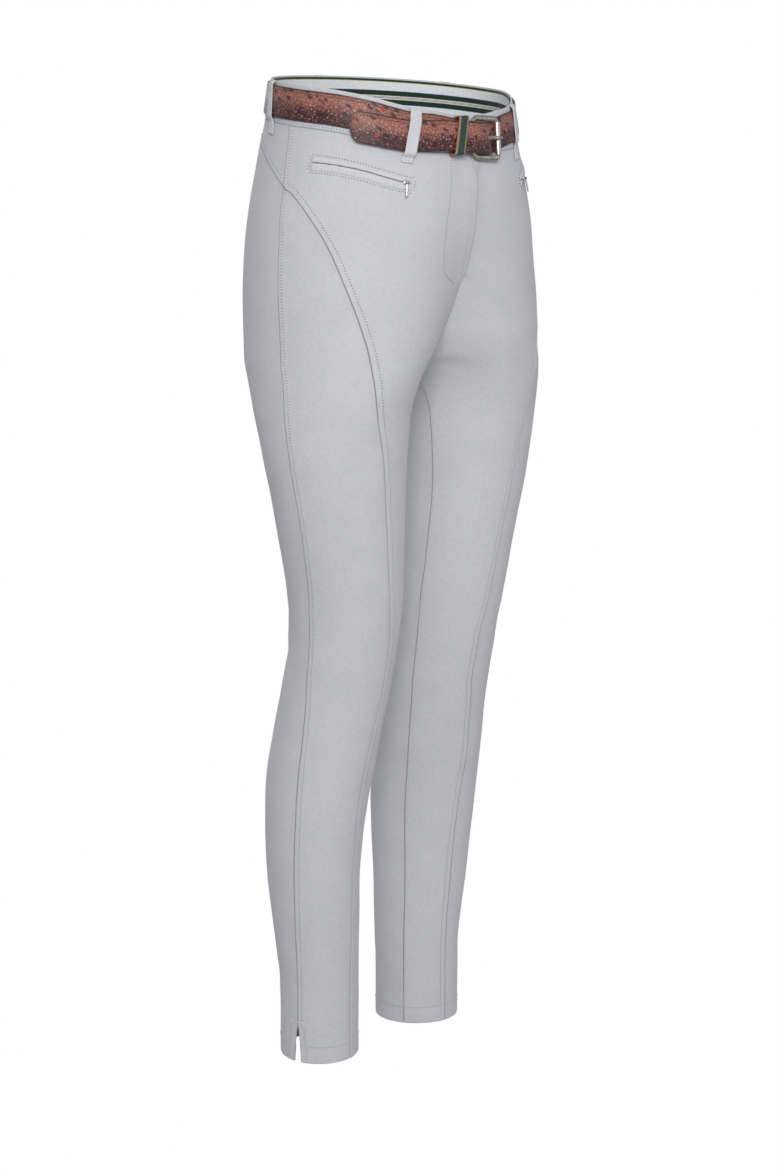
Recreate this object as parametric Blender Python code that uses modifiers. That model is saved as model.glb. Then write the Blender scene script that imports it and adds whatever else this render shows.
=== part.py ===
"""Riding breeches worn with their own belt, as a filled-out hollow form.

Metres, +Z up, the front faces -Y, the wearer's left is +X. The origin is the middle of the waistband,
where the wearer holds the garment up. Every cloth piece is a grid on one body surface, told by level
(height from the waist's middle) and angle (degrees round a half section, 90 front, 180 outside, 270 back).
"""

import math

import bmesh
import bpy
import numpy as np
from mathutils import Matrix, Vector

OBJECT_NAME = "riding_breeches"

# Garment sizes
BAND_TOP = 0.019
BAND_FOOT = -0.020
FRONT_DIP = 0.006
BAND_WALL = 0.0016
TAPE_WALL = 0.0010
TAPE_GAP = 0.0006
CLOTH_WALL = 0.0011
SEAM_GAP = 0.0003
CROTCH_LEVEL = -0.245
STYLE_CROSSING = -0.0755
HEM_LEVEL = -0.975
SLIT_TOP = -0.935
SLIT_HALF_WIDTH = 0.0031
FRONT_HOLLOW = 0.008
BACK_HOLLOW = 0.003
FLY_RAISE = 0.0015
FLY_FOOT = -0.155
FLY_OVER_EDGE = 0.003
FLY_UNDER_EDGE = 0.006

# Belt sizes
STRAP_HALF_WIDTH = 0.015
STRAP_EDGE = 0.0005
HOLE_RADIUS = 0.0020
BAR_RADIUS = 0.0018
ROLLER_RADIUS = 0.0031
ROLLER_BORE = 0.0021
FRAME_HALF_HEIGHT = 0.0191
FRAME_TILT = 0.03
HEEL_TURN = 0.5
HEEL_LEVEL = -0.0074
HEEL_OUT = 0.0050
ROLLER_TURN = 345.9
ROLLER_LEVEL = -0.0093
ROLLER_OUT = 0.0070
LOOP_WALL = 0.0011
LOOP_HALF_WIDTH = 0.0062
KEEPER_WALL = 0.0014

# Pocket zip sizes
SLIDER_ANGLE = 124.6
SLIDER_LEVEL = -0.0512
PIN_OUT = 0.0048
PIN_RADIUS = 0.0005
PULL_BORE = 0.00085
PULL_EYE_RADIUS = 0.0016
PULL_RADIUS = 0.0013
PULL_LENGTH = 0.0125

BODY_COLUMNS = ("level", "centre_x", "centre_y", "half_width", "half_depth", "skew")
BODY = np.array([
    (0.025, 0.0000, 0.0000, 0.1365, 0.1045, 0.000),
    (0.000, 0.0000, 0.0000, 0.1400, 0.1075, 0.000),
    (-0.020, 0.0000, 0.0000, 0.1435, 0.1105, 0.000),
    (-0.057, 0.0060, 0.0000, 0.1460, 0.1160, 0.000),
    (-0.097, 0.0220, 0.0010, 0.1400, 0.1150, 0.000),
    (-0.137, 0.0420, 0.0020, 0.1255, 0.1115, 0.000),
    (-0.177, 0.0580, 0.0015, 0.1125, 0.1075, 0.000),
    (-0.203, 0.0680, 0.0010, 0.1020, 0.1050, 0.000),
    (-0.217, 0.0730, 0.0000, 0.0975, 0.1030, 0.000),
    (-0.237, 0.0815, -0.0010, 0.0897, 0.0985, 0.000),
    (-0.245, 0.0859, -0.0020, 0.0857, 0.0965, 0.000),
    (-0.250, 0.0885, -0.0030, 0.0833, 0.0947, 0.000),
    (-0.257, 0.0915, -0.0042, 0.0805, 0.0922, 0.000),
    (-0.272, 0.0957, -0.0060, 0.0773, 0.0868, 0.000),
    (-0.297, 0.0985, -0.0080, 0.0755, 0.0790, 0.000),
    (-0.337, 0.0975, -0.0105, 0.0725, 0.0715, 0.000),
    (-0.377, 0.0945, -0.0115, 0.0680, 0.0665, 0.000),
    (-0.417, 0.0890, -0.0105, 0.0640, 0.0635, 0.000),
    (-0.457, 0.0840, -0.0095, 0.0600, 0.0605, 0.000),
    (-0.497, 0.0800, -0.0070, 0.0565, 0.0585, 0.000),
    (-0.537, 0.0785, -0.0010, 0.0545, 0.0570, 0.005),
    (-0.577, 0.0785, 0.0080, 0.0545, 0.0580, 0.010),
    (-0.617, 0.0800, 0.0170, 0.0540, 0.0590, 0.020),
    (-0.657, 0.0830, 0.0245, 0.0545, 0.0590, 0.025),
    (-0.697, 0.0850, 0.0300, 0.0535, 0.0570, 0.035),
    (-0.737, 0.0850, 0.0340, 0.0520, 0.0550, 0.050),
    (-0.777, 0.0845, 0.0355, 0.0500, 0.0520, 0.050),
    (-0.817, 0.0825, 0.0355, 0.0480, 0.0490, 0.045),
    (-0.857, 0.0795, 0.0355, 0.0455, 0.0460, 0.045),
    (-0.897, 0.0775, 0.0350, 0.0435, 0.0435, 0.045),
    (-0.980, 0.0775, 0.0350, 0.0430, 0.0430, 0.045),
])

# How high the waistline stands at a depth, low in front and high behind
WAISTLINE_COLUMNS = ("depth", "height")
WAISTLINE = np.array([
    (-0.118, -0.0178),
    (-0.100, -0.0157),
    (-0.092, -0.0138),
    (-0.082, -0.0094),
    (-0.069, -0.0036),
    (-0.054, 0.0008),
    (-0.037, 0.0042),
    (0.000, 0.0085),
    (0.054, 0.0146),
    (0.118, 0.0212),
])

# How much of the waistline's shape a level takes on
TILT_COLUMNS = ("level", "share")
TILT = np.array([
    (0.040, 1.00),
    (-0.020, 1.00),
    (-0.080, 0.80),
    (-0.160, 0.31),
    (-0.220, 0.00),
    (-1.000, 0.00),
])

SEAM_COLUMNS = ("level", "inseam", "style", "side")
SEAMS = np.array([
    (0.020, 0.0, 184.5, 184.5),
    (-0.045, 0.0, 182.0, 182.0),
    (-0.0755, 0.0, 180.6, 180.6),
    (-0.0815, 0.0, 174.5, 180.2),
    (-0.104, 0.0, 161.2, 179.2),
    (-0.128, 0.0, 151.0, 178.2),
    (-0.154, 0.0, 143.0, 177.6),
    (-0.183, 0.0, 135.0, 177.2),
    (-0.214, 0.0, 127.2, 176.8),
    (-0.245, 0.0, 118.0, 176.2),
    (-0.270, 9.0, 110.0, 175.6),
    (-0.300, 14.0, 102.0, 175.0),
    (-0.340, 15.0, 94.5, 174.2),
    (-0.400, 14.5, 91.0, 173.2),
    (-0.460, 11.5, 89.5, 175.0),
    (-0.500, 9.0, 86.5, 177.0),
    (-0.540, 10.5, 82.5, 175.5),
    (-0.580, 13.5, 82.0, 170.5),
    (-0.620, 16.5, 86.5, 166.0),
    (-0.670, 18.0, 88.0, 162.0),
    (-0.720, 18.5, 86.0, 159.5),
    (-0.780, 20.0, 84.0, 160.0),
    (-0.850, 22.0, 85.5, 164.0),
    (-0.900, 22.0, 88.0, 167.0),
    (-0.980, 22.0, 88.0, 168.5),
])

YOKE_COLUMNS = ("angle", "level")
YOKE = np.array([
    (180.0, -0.0763),
    (191.0, -0.0632),
    (200.0, -0.0530),
    (208.0, -0.0462),
    (222.0, -0.0425),
    (242.0, -0.0415),
    (272.0, -0.0420),
])

LEG_ROWS = (
    -0.0800, -0.0925, -0.110, -0.132, -0.156, -0.180, -0.205, -0.226, -0.240, -0.2437, -0.245, -0.250, -0.260,
    -0.280, -0.315, -0.358, -0.404, -0.450, -0.496, -0.540, -0.582, -0.626, -0.674, -0.724, -0.778, -0.836,
    -0.892, -0.935, -0.955, -0.975,
)

# Where each strap station lies: turn round the waist from the front middle toward the wearer's right
STRAP_COLUMNS = ("turn", "out", "drop", "wall", "width")
STRAP = (
    (4.3, 0.00105, 0.0066, 0.0011, 1.00),
    (2.3, 0.00105, 0.0070, 0.0011, 1.00),
    (0.5, 0.00105, 0.0074, 0.0011, 1.00),
    (-0.9, 0.0021, 0.0074, 0.0014, 1.00),
    (-1.5, 0.0050, 0.0074, 0.0018, 1.00),
    (-1.1, 0.0075, 0.0074, 0.0020, 1.00),
    (0.2, 0.0084, 0.0074, 0.0022, 1.00),
    (1.9, 0.0079, 0.0071, 0.0022, 1.00),
    (3.5, 0.0066, 0.0066, 0.0022, 1.00),
    (5.1, 0.0051, 0.0060, 0.0022, 1.00),
    (7.4, 0.0040, 0.0051, 0.0022, 1.00),
    (10.9, 0.0034, 0.0038, 0.0022, 1.00),
    (13.9, 0.0034, 0.0027, 0.0022, 1.00),
    (17.2, 0.0030, 0.0015, 0.0022, 1.00),
    (22.0, 0.0018, 0.0000, 0.0022, 1.00),
    (331.0, 0.0017, 0.0000, 0.0022, 1.00),
    (335.0, 0.0017, 0.0008, 0.0022, 1.00),
    (338.2, 0.0017, 0.0018, 0.0022, 1.00),
    (342.2, 0.0017, 0.0038, 0.0022, 1.00),
    (345.9, 0.0018, 0.0062, 0.0022, 1.00),
    (348.2, 0.0024, 0.0076, 0.0022, 1.00),
    (349.8, 0.0043, 0.0085, 0.0022, 1.00),
    (351.7, 0.0070, 0.0089, 0.0022, 1.00),
    (353.5, 0.0091, 0.0091, 0.0022, 1.00),
    (355.9, 0.0106, 0.0091, 0.0022, 1.00),
    (358.1, 0.0111, 0.0089, 0.0022, 1.00),
    (360.7, 0.0111, 0.0086, 0.0022, 1.00),
    (363.1, 0.0102, 0.0082, 0.0022, 1.00),
    (365.3, 0.0084, 0.0078, 0.0022, 1.00),
    (367.9, 0.0073, 0.0073, 0.0022, 1.00),
    (370.9, 0.0064, 0.0068, 0.0022, 1.00),
    (374.1, 0.0058, 0.0063, 0.0022, 1.00),
    (377.4, 0.0054, 0.0060, 0.0022, 1.00),
    (386.0, 0.0042, 0.0066, 0.0022, 1.00),
    (394.0, 0.0042, 0.0082, 0.0022, 1.00),
    (403.0, 0.0042, 0.0098, 0.0022, 1.00),
    (411.5, 0.0042, 0.0110, 0.0022, 1.00),
    (415.0, 0.0042, 0.0113, 0.0022, 0.93),
    (417.2, 0.0042, 0.0115, 0.0022, 0.76),
    (418.6, 0.0042, 0.0116, 0.0020, 0.52),
    (419.3, 0.0042, 0.0116, 0.0016, 0.25),
)
STRAP_HOLES = (335.5, 361.1, 372.6)
PRONG_SLOT = 351.6

# Belt loops: top turn, foot turn, level where the loop clears the free strap end
LOOP_COLUMNS = ("name", "top_turn", "foot_turn", "over_both")
LOOPS = (
    ("belt_loop_front_right", 29.6, 34.6, True),
    ("belt_loop_side_right", 113.0, 107.5, False),
    ("belt_loop_back", 180.0, 180.0, False),
    ("belt_loop_side_left", 247.0, 252.5, False),
    ("belt_loop_front_left", 322.0, 325.2, False),
)
LOOP_OVER_ONE = (
    (0.0186, 0.00090),
    (0.0170, 0.00120),
    (0.0160, 0.00360),
    (0.0080, 0.00370),
    (-0.0080, 0.00370),
    (-0.0158, 0.00365),
    (-0.0174, 0.00160),
    (-0.0220, 0.00100),
    (-0.0315, 0.00090),
)
LOOP_OVER_BOTH = (
    (0.0186, 0.00090),
    (0.0170, 0.00120),
    (0.0160, 0.00360),
    (0.0085, 0.00450),
    (0.0068, 0.00650),
    (-0.0080, 0.00655),
    (-0.0248, 0.00650),
    (-0.0266, 0.00360),
    (-0.0285, 0.00110),
    (-0.0325, 0.00090),
)

WELT_COLUMNS = ("angle", "top", "slit", "foot")
WELT = np.array([
    (121.0, -0.0478, -0.0522, -0.0592),
    (130.0, -0.0454, -0.0501, -0.0577),
    (140.0, -0.0452, -0.0496, -0.0570),
    (152.0, -0.0450, -0.0499, -0.0571),
    (168.0, -0.0449, -0.0509, -0.0581),
])
WELT_FRONT = 127.4
WELT_BACK = 166.0


def clear_scene():
    """Removes everything that the scene starts with."""
    for thing in list(bpy.data.objects):
        bpy.data.objects.remove(thing, do_unlink=True)


def through(table, column, at):
    """Monotone cubic through one column of a table, read at values of its first column."""
    order = np.argsort(table[:, 0])
    xs = table[order, 0]
    ys = table[order, column]
    step = np.diff(xs)
    rise = np.diff(ys) / step
    slope = np.zeros(len(xs))
    slope[0] = rise[0]
    slope[-1] = rise[-1]
    for i in range(1, len(xs) - 1):
        if rise[i - 1] * rise[i] > 0:
            before = 2 * step[i] + step[i - 1]
            after = step[i] + 2 * step[i - 1]
            slope[i] = (before + after) / (before / rise[i - 1] + after / rise[i])
    at = np.asarray(at, float)
    k = np.clip(np.searchsorted(xs, at, side="right") - 1, 0, len(xs) - 2)
    t = (at - xs[k]) / step[k]
    return (
        (2 * t**3 - 3 * t**2 + 1) * ys[k]
        + (t**3 - 2 * t**2 + t) * step[k] * slope[k]
        + (3 * t**2 - 2 * t**3) * ys[k + 1]
        + (t**3 - t**2) * step[k] * slope[k + 1]
    )


def fade(low, high, value):
    """0 below low, 1 above high, smooth between."""
    t = np.clip((np.asarray(value, float) - low) / (high - low), 0, 1)
    return t * t * (3 - 2 * t)


def skin(level, angle, side):
    """Points of the body surface. A point past the middle plane takes the depth of its mirror image."""
    level, angle = np.broadcast_arrays(np.asarray(level, float), np.asarray(angle, float))
    cx, cy, half_width, half_depth, skew = (through(BODY, i, level) for i in range(1, 6))
    turn = np.radians(angle)
    lean = 1 - skew * np.sin(2 * turn)
    x = cx - half_width * lean * np.cos(turn)
    y = cy - half_depth * lean * np.sin(turn)
    past = (x < 0) & (level > CROTCH_LEVEL)
    folded = np.arccos(np.clip((cx - np.abs(x)) / half_width, -1, 1))
    y = np.where(past, cy - half_depth * np.sin(folded) * np.sign(np.sin(turn)), y)
    middle = np.exp(-((x / 0.055) ** 2)) * fade(-0.300, -0.190, level)
    facing = np.sin(turn)
    y = y + middle * (FRONT_HOLLOW * np.maximum(facing, 0) + BACK_HOLLOW * np.minimum(facing, 0))
    return np.stack([side * x, y, level + through(TILT, 1, level) * through(WAISTLINE, 1, y)], axis=-1)


def outward(level, angle, side):
    """Unit normals of the body surface, away from the wearer."""
    up = skin(np.asarray(level) + 0.0006, angle, side) - skin(np.asarray(level) - 0.0006, angle, side)
    along = skin(level, np.asarray(angle) + 0.3, side) - skin(level, np.asarray(angle) - 0.3, side)
    normal = np.cross(along, up) * side
    return normal / np.linalg.norm(normal, axis=-1, keepdims=True)


def on_skin(level, angle, side, out=0.0):
    """Points at a distance out from the body surface."""
    out = np.asarray(out, float)
    return skin(level, angle, side) + outward(level, angle, side) * out[..., None]


def on_waist(turn, level, out=0.0):
    """A point round the waist: turn runs from the front middle toward the wearer's right."""
    turn = turn % 360
    if turn <= 180:
        return on_skin(level, 90 + turn, -1, out)
    return on_skin(level, 450 - turn, 1, out)


def waist_axes(turn, level):
    """Unit vectors at the waist: along the growing turn, up the cloth, and outward."""
    along = on_waist(turn + 0.5, level) - on_waist(turn - 0.5, level)
    along /= np.linalg.norm(along)
    up = on_waist(turn, level + 0.002) - on_waist(turn, level - 0.002)
    up -= along * (up @ along)
    up /= np.linalg.norm(up)
    out = np.cross(along, up)
    middle = on_waist(turn, level)
    if out[:2] @ middle[:2] < 0:
        out = -out
    return along, up, out


def edge_angle(level, edge_x):
    """The angle at which a half section reaches edge_x, on the front."""
    cx = through(BODY, 1, level)
    half_width = through(BODY, 3, level)
    return np.degrees(np.arccos(np.clip((cx - edge_x) / half_width, -1, 1)))


def gap_angle(level, column):
    """Half of a seam's gap as an angle, wider where the seam runs aslant."""
    run = (through(SEAMS, column, level + 0.002) - through(SEAMS, column, level - 0.002)) / 0.004
    radius = through(BODY, 3, level)
    aslant = np.sqrt(1 + (np.radians(run) * radius) ** 2)
    return np.degrees(0.5 * SEAM_GAP / radius) * np.minimum(aslant, 4.0)


def front_start(level, fly_edge):
    """Where a front panel begins: the front middle above the crotch, the inseam below it."""
    level = np.asarray(level, float)
    overlap = fly_edge * fade(FLY_FOOT + 0.021, FLY_FOOT + 0.037, level) * (1 - fade(-0.046, -0.034, level))
    middle = edge_angle(level, SEAM_GAP / 2 - overlap)
    inseam = through(SEAMS, 1, level) + gap_angle(level, 1)
    return np.where(level > CROTCH_LEVEL, middle, inseam)


def back_end(level):
    """Where a back panel ends: the back middle above the crotch, the inseam below it."""
    level = np.asarray(level, float)
    middle = 360 - edge_angle(level, SEAM_GAP / 2)
    inseam = 360 + through(SEAMS, 1, level) - gap_angle(level, 1)
    return np.where(level > CROTCH_LEVEL, middle, inseam)


def slit_angle(level):
    """How far each edge of the hem slit stands from the side seam, in degrees."""
    open_share = np.clip((SLIT_TOP - np.asarray(level, float)) / (SLIT_TOP - HEM_LEVEL), 0, 1)
    return np.degrees(SLIT_HALF_WIDTH / 0.043) * open_share**0.8


def principled(name, colour, roughness, metallic=0.0, sheen=0.0):
    """A material of its own for one sub-part."""
    made = bpy.data.materials.new(name)
    made.use_nodes = True
    shader = next(n for n in made.node_tree.nodes if n.type == "BSDF_PRINCIPLED")
    shader.inputs["Base Color"].default_value = (*colour, 1.0)
    shader.inputs["Roughness"].default_value = roughness
    shader.inputs["Metallic"].default_value = metallic
    shader.inputs["Sheen Weight"].default_value = sheen
    return made


def mesh_object(name, verts, faces, material, group):
    """Makes a mesh object from points and faces."""
    mesh = bpy.data.meshes.new(name)
    mesh.from_pydata([tuple(map(float, v)) for v in verts], [], faces)
    mesh.materials.append(material)
    mesh.update()
    thing = bpy.data.objects.new(name, mesh)
    group.objects.link(thing)
    return thing


def grid_faces(rows, columns, flip):
    """Quads of a grid of points."""
    faces = []
    for r in range(rows - 1):
        for c in range(columns - 1):
            quad = [r * columns + c, r * columns + c + 1, (r + 1) * columns + c + 1, (r + 1) * columns + c]
            faces.append(quad[::-1] if flip else quad)
    return faces


def walled(thing, wall, offset):
    """Turns an open surface into a closed wall."""
    solid = thing.modifiers.new("wall", "SOLIDIFY")
    solid.thickness = wall
    solid.offset = offset
    solid.use_even_offset = True
    return thing


def cloth(name, levels, angles, side, wall, material, group, out=0.0, offset=-1.0):
    """A cloth piece as a grid of levels and angles on the body surface, with a wall."""
    levels, angles = np.broadcast_arrays(levels, angles)
    points = on_skin(levels, angles, side, np.broadcast_to(out, levels.shape))
    rows, columns = levels.shape
    faces = grid_faces(rows, columns, flip=side > 0)
    thing = mesh_object(name, points.reshape(-1, 3), faces, material, group)
    return walled(thing, wall, offset)


def shares(count, start=0.0, end=1.0):
    """Even shares from start to end."""
    return np.linspace(start, end, count)


def front_columns(rows, fly_edge):
    """Angles of a front panel's columns, row by row, and its middle column."""
    start = front_start(rows, fly_edge)
    seam = np.minimum(through(SEAMS, 2, rows), through(SEAMS, 3, rows))
    gap = np.where(rows > STYLE_CROSSING, gap_angle(rows, 3), gap_angle(rows, 2))
    end = seam - gap
    middle = np.maximum(np.where(rows > CROTCH_LEVEL, edge_angle(rows, 0.0), 0.0), start + 0.7)
    rest = middle + 8.0 + (end - middle - 8.0) * shares(10)[None, :]
    return np.concatenate([start, middle, middle + 3.2, rest], axis=1), middle


def front_panel(tag, side, material, group):
    """The centre front, from the waistband to the hem, with the narrow strip down the inner leg."""
    rows = np.array([BAND_FOOT - SEAM_GAP / 2, -0.034, -0.052, STYLE_CROSSING, *LEG_ROWS])[:, None]
    angles, middle = front_columns(rows, FLY_OVER_EDGE if side < 0 else FLY_UNDER_EDGE)
    if side < 0:
        near = 1 - fade(3.4, 7.8, angles - middle)
        out = FLY_RAISE * near * fade(FLY_FOOT, FLY_FOOT + 0.018, rows) * (1 - fade(-0.034, -0.022, rows))
    else:
        out = 0.0
    return cloth("front_" + tag, rows, angles, side, CLOTH_WALL, material, group, out)


def side_front_panel(tag, side, material, group):
    """The outer front of the leg, between the style seam and the side seam."""
    rows = np.array(LEG_ROWS)[:, None]
    start = through(SEAMS, 2, rows) + gap_angle(rows, 2)
    end = through(SEAMS, 3, rows) - gap_angle(rows, 3) - slit_angle(rows)
    angles = start + (end - start) * shares(8)[None, :]
    return cloth("side_front_" + tag, rows, angles, side, CLOTH_WALL, material, group)


def yoke_row(offset, count):
    """Levels and angles along the yoke seam, from the side seam to the back middle."""
    levels = np.full(count, -0.050)
    for _ in range(6):
        start = through(SEAMS, 3, levels) + gap_angle(levels, 3)
        angles = start + (back_end(levels) - start) * shares(count)
        levels = through(YOKE, 1, angles) + offset
    return levels, angles


def back_panel(tag, side, material, group):
    """The back of the leg and seat, from the yoke seam to the hem."""
    rows = np.array(LEG_ROWS)[:, None]
    start = through(SEAMS, 3, rows) + gap_angle(rows, 3) + slit_angle(rows)
    angles = start + (back_end(rows) - start) * shares(13)[None, :]
    levels = np.broadcast_to(rows, angles.shape)
    seam_levels, _ = yoke_row(-SEAM_GAP * 0.62, 13)
    upper = seam_levels + (levels[0] - seam_levels) * np.array([0.0, 0.33, 0.66])[:, None]
    start = through(SEAMS, 3, upper) + gap_angle(upper, 3)
    upper_angles = start + (back_end(upper) - start) * shares(13)[None, :]
    levels = np.vstack([upper, levels])
    angles = np.vstack([upper_angles, angles])
    return cloth("back_" + tag, levels, angles, side, CLOTH_WALL, material, group)


def yoke_columns(levels):
    """Angles of a yoke's columns, row by row."""
    start = through(SEAMS, 3, levels) + gap_angle(levels, 3)
    return start + (back_end(levels) - start) * shares(13)[None, :]


def back_yoke(tag, side, material, group):
    """The shaped yoke between the waistband and the back panel."""
    foot, _ = yoke_row(SEAM_GAP * 0.62, 13)
    head = BAND_FOOT - SEAM_GAP / 2
    levels = head + (foot[None, :] - head) * shares(4)[:, None]
    angles = yoke_columns(levels)
    return cloth("back_yoke_" + tag, levels, angles, side, CLOTH_WALL, material, group)


def band_dip(turn, level):
    """How much lower the top of the waistband runs towards the front middle."""
    away = (np.asarray(turn, float) + 180) % 360 - 180
    return FRONT_DIP * np.exp(-(away / 16.0) ** 2) * fade(-0.004, BAND_TOP, level)


def band_half(tag, side, material, group):
    """One half of the waistband, with the same columns as the panels below so that the seam stays even."""
    edge = -FLY_OVER_EDGE if side < 0 else FLY_OVER_EDGE + 0.0008
    first = float(edge_angle(0.0, edge))
    last = 270 - math.degrees(0.5 * SEAM_GAP / 0.14)
    foot = np.array([[BAND_FOOT - SEAM_GAP / 2]])
    below = np.concatenate([front_columns(foot, FLY_OVER_EDGE)[0][0, 1:], yoke_columns(foot)[0, 1:-1]])
    angles = np.array([[first, *below[below > first + 1.5], last]])
    levels = np.array([BAND_TOP, BAND_TOP - 0.0015, 0.0, BAND_FOOT + SEAM_GAP / 2])[:, None]
    levels = levels - band_dip(angles - 90, levels)
    return cloth("waistband_" + tag, levels, angles, side, BAND_WALL, material, group)


def round_waist(name, turns, levels, out, wall, material, group):
    """A piece that runs round the waist past the middle planes."""
    points = [on_waist(t, level - float(band_dip(t, level)), np.float64(out)) for level in levels for t in turns]
    faces = grid_faces(len(levels), len(turns), flip=False)
    return walled(mesh_object(name, points, faces, material, group), wall, -1.0)


def strap_stations():
    """Every station of the strap, with the long plain run filled in."""
    stations = []
    for here, after in zip(STRAP, STRAP[1:]):
        steps = max(1, round((after[0] - here[0]) / 7.5))
        for i in range(steps):
            share = i / steps
            stations.append([a + (b - a) * share for a, b in zip(here, after)])
    stations.append(list(STRAP[-1]))
    return stations


def strap_body(material, group):
    """The belt strap: one long solid from the fold round the buckle's bar to the rounded tip."""
    stations = strap_stations()
    centres = [on_waist(turn, -drop, np.float64(out)) for turn, out, drop, _, _ in stations]
    verts = []
    for i, (turn, _, drop, wall, width) in enumerate(stations):
        ahead = centres[min(i + 1, len(centres) - 1)] - centres[max(i - 1, 0)]
        ahead = ahead / np.linalg.norm(ahead)
        _, up, _ = waist_axes(turn, -drop)
        up = up - ahead * (up @ ahead)
        up = up / np.linalg.norm(up)
        across = np.cross(ahead, up)
        half = STRAP_HALF_WIDTH * width
        edge = min(STRAP_EDGE, half / 3)
        ring = (
            (half - edge, wall / 2), (half, wall / 2 - edge), (half, edge - wall / 2), (half - edge, -wall / 2),
            (edge - half, -wall / 2), (-half, edge - wall / 2), (-half, wall / 2 - edge), (edge - half, wall / 2),
        )
        for u, v in ring:
            verts.append(centres[i] + up * u + across * v)
    count = len(stations)
    faces = [list(range(8))[::-1]]
    for i in range(count - 1):
        for k in range(8):
            low = i * 8
            faces.append([low + k, low + (k + 1) % 8, low + 8 + (k + 1) % 8, low + 8 + k])
    faces.append([(count - 1) * 8 + k for k in range(8)])
    thing = mesh_object("belt_strap", verts, faces, material, group)
    face_outward(thing)
    return thing


def face_outward(thing):
    """Turns every face of a closed mesh outward."""
    work = bmesh.new()
    work.from_mesh(thing.data)
    bmesh.ops.recalc_face_normals(work, faces=work.faces)
    work.to_mesh(thing.data)
    work.free()


def placed(along, up, out, at):
    """A matrix with its X along, Y up and Z out at a point."""
    rows = np.eye(4)
    rows[:3, 0] = along
    rows[:3, 1] = up
    rows[:3, 2] = out
    rows[:3, 3] = at
    return Matrix(rows.tolist())


def prism(name, sides, radius_x, radius_y, depth, matrix, group, material=None):
    """A prism along local Z with rounded or square outline."""
    points = []
    for z in (-depth / 2, depth / 2):
        for k in range(sides):
            turn = 2 * math.pi * (k + 0.5) / sides
            points.append(Vector((radius_x * math.cos(turn), radius_y * math.sin(turn), z)))
    faces = [list(range(sides))[::-1], list(range(sides, 2 * sides))]
    for k in range(sides):
        after = (k + 1) % sides
        faces.append([k, after, sides + after, sides + k])
    mesh = bpy.data.meshes.new(name)
    mesh.from_pydata([matrix @ p for p in points], [], faces)
    if material:
        mesh.materials.append(material)
    thing = bpy.data.objects.new(name, mesh)
    group.objects.link(thing)
    face_outward(thing)
    return thing


def cut(thing, cutter, cutters):
    """Subtracts a cutter, which stays in its own hidden collection."""
    taken = thing.modifiers.new("cut_" + cutter.name, "BOOLEAN")
    taken.operation = "DIFFERENCE"
    taken.solver = "EXACT"
    taken.object = cutter
    cutter.hide_render = True
    cutter.display_type = "WIRE"
    if cutter.name not in cutters.objects:
        cutters.objects.link(cutter)


def pierce_strap(strap, cutters):
    """The punched holes, the prong's slot and the slot at the fold."""
    for i, turn in enumerate((*STRAP_HOLES, PRONG_SLOT)):
        row = np.array(STRAP)
        out = float(np.interp(turn, row[15:, 0], row[15:, 1]))
        drop = float(np.interp(turn, row[15:, 0], row[15:, 2]))
        along, up, away = waist_axes(turn, -drop)
        here = on_waist(turn, -drop, np.float64(out))
        long = HOLE_RADIUS if i < len(STRAP_HOLES) else 0.0047
        wide = HOLE_RADIUS if i < len(STRAP_HOLES) else 0.0030
        at = here + (0 if i < len(STRAP_HOLES) else 0.0004) * up
        depth = 0.0030 if i < len(STRAP_HOLES) else 0.0090
        cut(strap, prism(f"hole_cutter_{i}", 12, long, wide, depth, placed(along, up, away, at), cutters), cutters)
    along, up, away = waist_axes(HEEL_TURN, HEEL_LEVEL)
    at = on_waist(HEEL_TURN - 0.5, HEEL_LEVEL, np.float64(HEEL_OUT + 0.0003))
    matrix = placed(along, up, away, at)
    cut(strap, prism("fold_cutter", 4, 0.0064, 0.0044, 0.0080, matrix, cutters), cutters)


def loop_strip(name, top_turn, foot_turn, profile, material, group):
    """A belt loop: a narrow strip that stands over the strap and lies down at its foot."""
    points = []
    for level, out in profile:
        share = (profile[0][0] - level) / (profile[0][0] - profile[-1][0])
        turn = top_turn + (foot_turn - top_turn) * share
        along, _, _ = waist_axes(turn, level)
        middle = on_waist(turn, level, np.float64(out))
        away = waist_axes(turn, level)[2]
        for place in (-1.0, 0.0, 1.0):
            sink = away * (-0.00012 * place * place)
            points.append(middle + along * (LOOP_HALF_WIDTH * place) + sink)
    faces = grid_faces(len(profile), 3, flip=False)
    return walled(mesh_object(name, points, faces, material, group), LOOP_WALL, 0.0)


def keeper_ring(material, group):
    """The leather keeper round both layers of the strap."""
    first, last = 6.6, 11.4
    inner_low, inner_high = 0.0020, 0.0086
    half = STRAP_HALF_WIDTH + 0.0027
    drop = 0.0060
    lean = 130.0
    corners = []
    for cu, cv, start in ((1, 1, 0), (-1, 1, 90), (-1, -1, 180), (1, -1, 270)):
        for k in (0, 45, 90):
            turn = math.radians(start + k)
            corners.append((
                cu * (half - 0.001) + 0.001 * math.cos(turn),
                (inner_high - 0.0010 if cv > 0 else inner_low + 0.0010) + 0.001 * math.sin(turn),
            ))
    points = []
    turns = np.linspace(first, last, 3)
    for u, v in corners:
        for turn in turns:
            rise = 0.0018 * (last - turn) / (last - first) if v > 0.005 else 0.0
            place = turn - lean * u
            _, up, away = waist_axes(place, -drop)
            points.append(on_waist(place, -drop) + up * u + away * (v + rise))
    count = len(corners)
    faces = []
    for i in range(count):
        after = (i + 1) % count
        for k in range(len(turns) - 1):
            faces.append([i * 3 + k, i * 3 + k + 1, after * 3 + k + 1, after * 3 + k])
    thing = mesh_object("belt_keeper", points, faces, material, group)
    face_outward(thing)
    return walled(thing, KEEPER_WALL, 1.0)


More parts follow.
